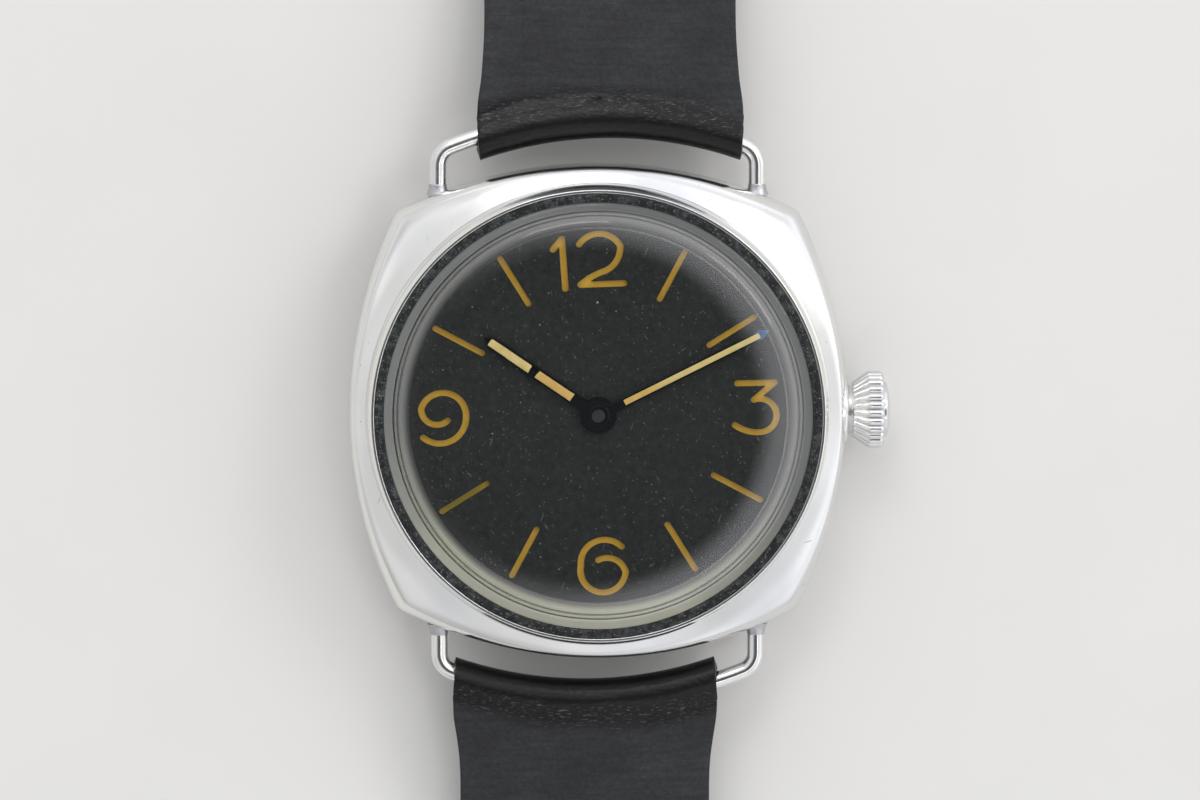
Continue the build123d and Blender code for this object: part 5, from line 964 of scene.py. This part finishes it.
def strap_spots(level, length, pin_run):
    """The strip's middle surface in order: run outwards, height, and side of the joint."""
    runs = [0.0]
    while runs[-1] < length - 0.1:
        runs.append(min(runs[-1] + next_step(runs[-1], length, pin_run), length))
    if pin_run is not None:
        runs.pop()
    upper, lower = [], []
    for run in runs:
        half, joint = layer_at(run, level, pin_run)
        upper.append((run, joint + half, 1))
        lower.append((run, joint - half, -1))
    roll, loop = [], []
    for step in range(FOLD_STEPS + 1):
        angle = math.pi / 2 + math.pi * step / FOLD_STEPS
        roll.append((ROLL_MIDDLE * math.cos(angle),
                     middle_level(0, level) + ROLL_MIDDLE * math.sin(angle), 0))
        if pin_run is not None:
            angle -= math.pi
            loop.append((pin_run + LOOP_MIDDLE * math.cos(angle),
                         PIN_LEVEL + LOOP_MIDDLE * math.sin(angle), 0))
    return upper[::-1] + roll[1:-1] + lower + loop


def strap_half_width(run, length, pointed):
    """Half width of a strap half at a run outwards from the bar."""
    if run < SHOULDER_RUN:
        shoulder = smooth_step(max(run, 0) / SHOULDER_RUN)
        half = FOLD_WIDTH / 2 + (STRAP_WIDTH - FOLD_WIDTH) / 2 * shoulder \
            + BULGE * hump(run, BULGE_MIDDLE, BULGE_SPREAD)
    else:
        share = (run - SHOULDER_RUN) / (length - SHOULDER_RUN)
        half = STRAP_WIDTH / 2 + (STRAP_END_WIDTH - STRAP_WIDTH) / 2 * share
    if pointed and run > length - TIP_LENGTH:
        share = (run - length + TIP_LENGTH) / TIP_LENGTH
        half *= math.sqrt(max(1 - share ** TIP_POWER, TIP_BLUNT))
    return half


def build_strap_half(hour, side, level, length, pin_run):
    """One strap half as a folded strip with its creases, ready for holes or a slot."""
    arch_centre = BAR_REACH - BAR_ARCH
    rows = []
    for run, height_here, face in strap_spots(level, length, pin_run):
        row = []
        fade = 1 - smooth_step((run - ARCH_RUN) / ARCH_FADE)
        half_width = strap_half_width(run, length, pin_run is None)
        under = 1.0 if face < 0 else 0.0
        crease = hump(run, CREASE_MIDDLE, CREASE_SPREAD) if face > 0 else 0.0
        for column in range(STRAP_COLUMNS + 1):
            across = -1 + 2 * column / STRAP_COLUMNS
            wobble = EDGE_WOBBLE * smooth_noise(run * 0.16, 4.0 + 9 * under, side * 3.0) \
                * abs(across) ** 3
            x = across * (half_width + wobble - UNDER_NARROWER * under * smooth_step(run / 6))
            arch = arch_centre + math.sqrt(BAR_ARCH ** 2 - min(abs(x), ARCH_HALF) ** 2) - BAR_REACH
            ridge = 1 - abs(smooth_noise(x * 0.42 + 3, run * 2.3, side * 7.0)) * 2
            lift = WRINKLE_DEPTH * crease * (ridge - 0.6)
            lift += WAVE_DEPTH * smooth_noise(x * 0.16, run * 0.5, 11.0 + face + side) \
                * (1 if run > 0 else 0.6)
            row.append((STRAP_SHIFT * side + x, side * (BAR_REACH + run + arch * fade),
                        height_here + face * lift))
        rows.append(row)
    return grid_mesh("strap_strip_" + hour, rows, closed_rows=pin_run is not None,
                     closed_columns=False)


def punch(mesh, inside, snap):
    """Takes the faces inside an outline out of the strip, and pulls the rim to the outline."""
    def cut(work):
        gone = [face for face in work.faces if all(inside(v.co / MM) for v in face.verts)]
        rim = {corner for face in gone for corner in face.verts}
        bmesh.ops.delete(work, geom=gone, context="FACES")
        for corner in rim:
            if corner.is_valid and corner.link_faces:
                corner.co = snap(corner.co / MM) * MM

    rework(mesh, cut)


def punch_hole(mesh, x, y, radius):
    """One round hole through both layers."""
    def snap(point):
        away_x, away_y = point.x - x, point.y - y
        stretch = radius / max(math.hypot(away_x, away_y), 0.01)
        return Vector((x + away_x * stretch, y + away_y * stretch, point.z))

    punch(mesh, lambda point: math.hypot(point.x - x, point.y - y) < radius + HOLE_CATCH, snap)


def punch_slot(mesh, x, half_width, start):
    """The tongue's slot through the loop at the buckle's pin."""
    def inside(point):
        return abs(point.x - x) < half_width + SLOT_CATCH and point.y > start - 0.1

    def snap(point):
        edge = point.x
        if abs(point.x - x) > half_width - 0.3:
            edge = x + math.copysign(half_width, point.x - x)
        return Vector((edge, max(point.y, start), point.z))

    punch(mesh, inside, snap)


for hour, side, level, length, pin_run in (
    ("12", 1, 1.3, BUCKLE_HALF, BUCKLE_HALF),
    ("6", -1, 0.0, LONG_HALF, None),
):
    body = "strap_" + hour
    strip = build_strap_half(hour, side, level, length, pin_run)
    if pin_run is None:
        for hole in range(HOLE_COUNT):
            punch_hole(strip, -STRAP_SHIFT,
                       -(BAR_REACH + length - HOLE_FIRST - hole * HOLE_PITCH), HOLE_RADIUS)
    else:
        punch_slot(strip, STRAP_SHIFT, SLOT_WIDTH / 2,
                   BAR_REACH + pin_run - SLOT_LENGTH + SLOT_SHIFT)
    half_piece = place_piece(f"strap_{hour}_calf", strip, black_calf, "strap_leather", None,
                             f"strap_{hour}_leather", f"strap_{hour}_bar_fold",
                             smooth_angle=None)
    add_modifier(half_piece, "thickness", "SOLIDIFY", thickness=LEATHER * MM, offset=0.0)
    add_modifier(half_piece, "skived_edges", "BEVEL", width=0.18 * MM, segments=2,
                 limit_method="ANGLE", angle_limit=math.radians(60))
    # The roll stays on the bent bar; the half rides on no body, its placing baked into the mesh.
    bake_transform(half_piece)

# Keepers: bands of the same calf, skived and closed underneath; one is sewn fast
# by the buckle and the other slides.
KEEPER_LEATHER, KEEPER_LENGTH, KEEPER_INSIDE, KEEPER_BOTTOM = 1.2, 7.0, 4.6, 0.05
KEEPER_CORNER, KEEPER_CORNER_STEPS, KEEPER_SIDE_STEPS = 1.25, 8, 24
KEEPER_SWELL, KEEPER_UNEVEN = 0.05, 0.03
PIN_REACH = BAR_REACH + BUCKLE_HALF
KEEPER_HALF_Z = (KEEPER_INSIDE + KEEPER_LEATHER) / 2
KEEPER_MIDDLE_Z = KEEPER_BOTTOM + KEEPER_LEATHER + KEEPER_INSIDE / 2
half_length, half_leather = KEEPER_LENGTH / 2, KEEPER_LEATHER / 2 - 0.02
keeper_section = rounded([(-half_length, -half_leather), (half_length, -half_leather),
                          (half_length, half_leather), (-half_length, half_leather)], 0.4)
for name, half_inside, place_run, body in (
    ("fixed_keeper", 11.3, 10.5, "strap_12"),
    ("free_keeper", 11.95, 24.0, "free_keeper"),
):
    outline = []
    half_x = half_inside + KEEPER_LEATHER / 2
    for quarter in range(4):
        centre_x = (half_x - KEEPER_CORNER) * (1 if quarter in (0, 3) else -1)
        centre_z = (KEEPER_HALF_Z - KEEPER_CORNER) * (1 if quarter in (0, 1) else -1)
        for step in range(KEEPER_CORNER_STEPS + 1):
            angle = math.pi / 2 * (quarter + step / KEEPER_CORNER_STEPS)
            outline.append((centre_x + KEEPER_CORNER * math.cos(angle),
                            centre_z + KEEPER_CORNER * math.sin(angle)))
        if quarter in (0, 2):
            start_x, start_z = outline[-1]
            for step in range(1, KEEPER_SIDE_STEPS):
                share = step / KEEPER_SIDE_STEPS
                outline.append((start_x + (-centre_x - start_x) * share, start_z))
    rows = []
    for index, (x, z) in enumerate(outline):
        before, after = outline[index - 1], outline[(index + 1) % len(outline)]
        tangent = Vector((after[0] - before[0], after[1] - before[1])).normalized()
        row = []
        for along, out in keeper_section:
            uneven = KEEPER_UNEVEN * smooth_noise(x * 0.3, along * 0.5, z) if out > 0 else 0.0
            swell = KEEPER_SWELL * math.cos(math.pi * along / KEEPER_LENGTH) if out > 0 else 0.0
            row.append((STRAP_SHIFT + x + tangent.y * (out + swell + uneven),
                        PIN_REACH - place_run + along,
                        KEEPER_MIDDLE_Z + z - tangent.x * (out + uneven)))
        rows.append(row)
    place_piece(name + "_band", grid_mesh(name + "_band", rows), black_calf, "strap_leather",
                body, name, smooth_angle=60.0)

# Buckle: bent and polished steel frame, its pin and its tongue, plain and unsigned.
softened_copy("buckle_bow", "buckle_frame", polished_steel, "buckle_steel", "buckle", 0.35, 4)
softened_copy("buckle_tongue_bar", "buckle_tongue", polished_steel, "buckle_steel", "tongue",
              0.18, 3)
finish_nodes(polished_steel, "buckle_pin")

# Case back: turned steel disc screwed into the case, with six key notches and fine
# turning marks round its middle.
TURNING_PITCH = 0.42
# Turned steel: rings of tool marks, drawn coarser than real ones, so that they show.
turned_steel, tree, shader, place, uneven, tint = start_mottled(
    "turned_stainless_steel", "#BFC0C0", "#D6D6D4", 90.0, 4.0)
parts = add(tree, "SeparateXYZ", [place])
flat_place = add(tree, "CombineXYZ", [parts.outputs["X"], parts.outputs["Y"]])
from_axis = add(tree, "VectorMath", [flat_place], operation="LENGTH")
rings = add(tree, "Math", [from_axis, 2 * math.pi / (TURNING_PITCH * MM)], operation="MULTIPLY")
waves = add(tree, "Math", [rings], operation="SINE")
dull = add(tree, "MapRange", {0: uneven, 3: 0.22, 4: 0.36})
dress(shader, {"Metallic": 1.0, "Roughness": dull}, tint, relief=[(waves, 0.3, 0.02)])
softened_copy("case_back_plate", "case_back", turned_steel, "polished_steel", "case", 0.12, 2)
finish_nodes(turned_steel, "crown_tube")

# Movement: nickel-plated brass plate, bridges and cocks, finely frosted, under the dial.
frosted_nickel, tree, shader, place, _, tint = start_mottled(
    "frosted_nickel_plating", "#C9C6BC", "#DAD8D0", 180.0, 3.0)
frost = add(tree, "TexNoise", {"Vector": place, "Scale": 4000.0, "Detail": 3.0})
dress(shader, {"Metallic": 1.0, "Roughness": 0.42}, tint, relief=[(frost, 0.2, 0.02)])
finish_nodes(frosted_nickel, "main_plate", "barrel_bridge", "train_bridge", "balance_cock",
             "pallet_cock")

# The other parts inside: a finish a row, with its two colours, its noise's scale and detail,
# the stretch of that noise, the shader's own values and the nodes that have the finish. File
# grain, like the frosting above, is drawn coarser than real grain, so that it shows.
METAL, FINE, COARSE = {"Metallic": 1.0}, 6000.0, 400.0
for finish, colours, pattern, stretch, values, names in (
    # Wheels and drum: gilt brass, grained by the file.
    ("grained_gilt_brass", ("#C09A4C", "#D8B768"), (1.0, 3.0), (COARSE, FINE, COARSE),
     {**METAL, "Roughness": 0.3},
     ("barrel_drum", "barrel_cover", "centre_wheel", "third_wheel", "fourth_wheel",
      "balance_wheel", "minute_wheel", "hour_wheel")),
    # Steel work of the movement: hardened, grained flat and grey.
    ("grained_hardened_steel", ("#8F9296", "#B6B8BB"), (1.0, 3.0), (FINE, COARSE, COARSE),
     {**METAL, "Roughness": 0.28},
     ("winding_stem", "winding_pinion", "sliding_pinion", "setting_lever", "crown_wheel",
      "ratchet_wheel", "barrel_arbor", "click", "click_spring", "crown_wheel_core",
      "mainspring", "escape_wheel", "pallet_fork", "hairspring", "regulator",
      "setting_wheel")),
    # Cannon pinion: hardened steel coloured dark grey, its tip worn at the edge.
    ("dark_grey_steel", ("#323438", "#5C5E63"), (1800.0, 3.0), None,
     {**METAL, "Roughness": 0.4}, ("cannon_pinion",)),
    # Screws: heads tempered to cornflower blue.
    ("tempered_blue_steel", ("#1E3270", "#34509C"), (700.0, 2.0), None,
     {**METAL, "Roughness": 0.2}, ("bridge_screws", "ratchet_screw")),
    # Jewels: synthetic ruby, clear deep red.
    ("synthetic_ruby", ("#8E0F2A", "#B81C40"), (900.0, 2.0), None,
     {"Roughness": 0.08, "IOR": 1.76}, ("jewels",)),
    # Rubber rings: matt black, between case and back and inside the crown.
    ("sealing_rubber", ("#151515", "#272727"), (1200.0, 3.0), None,
     {"Roughness": 0.7}, ("back_gasket", "crown_gasket")),
):
    material, tree, shader, *_ = start_mottled(finish, *colours, *pattern, stretch=stretch)
    feed(shader, values)
    finish_nodes(material, *names)
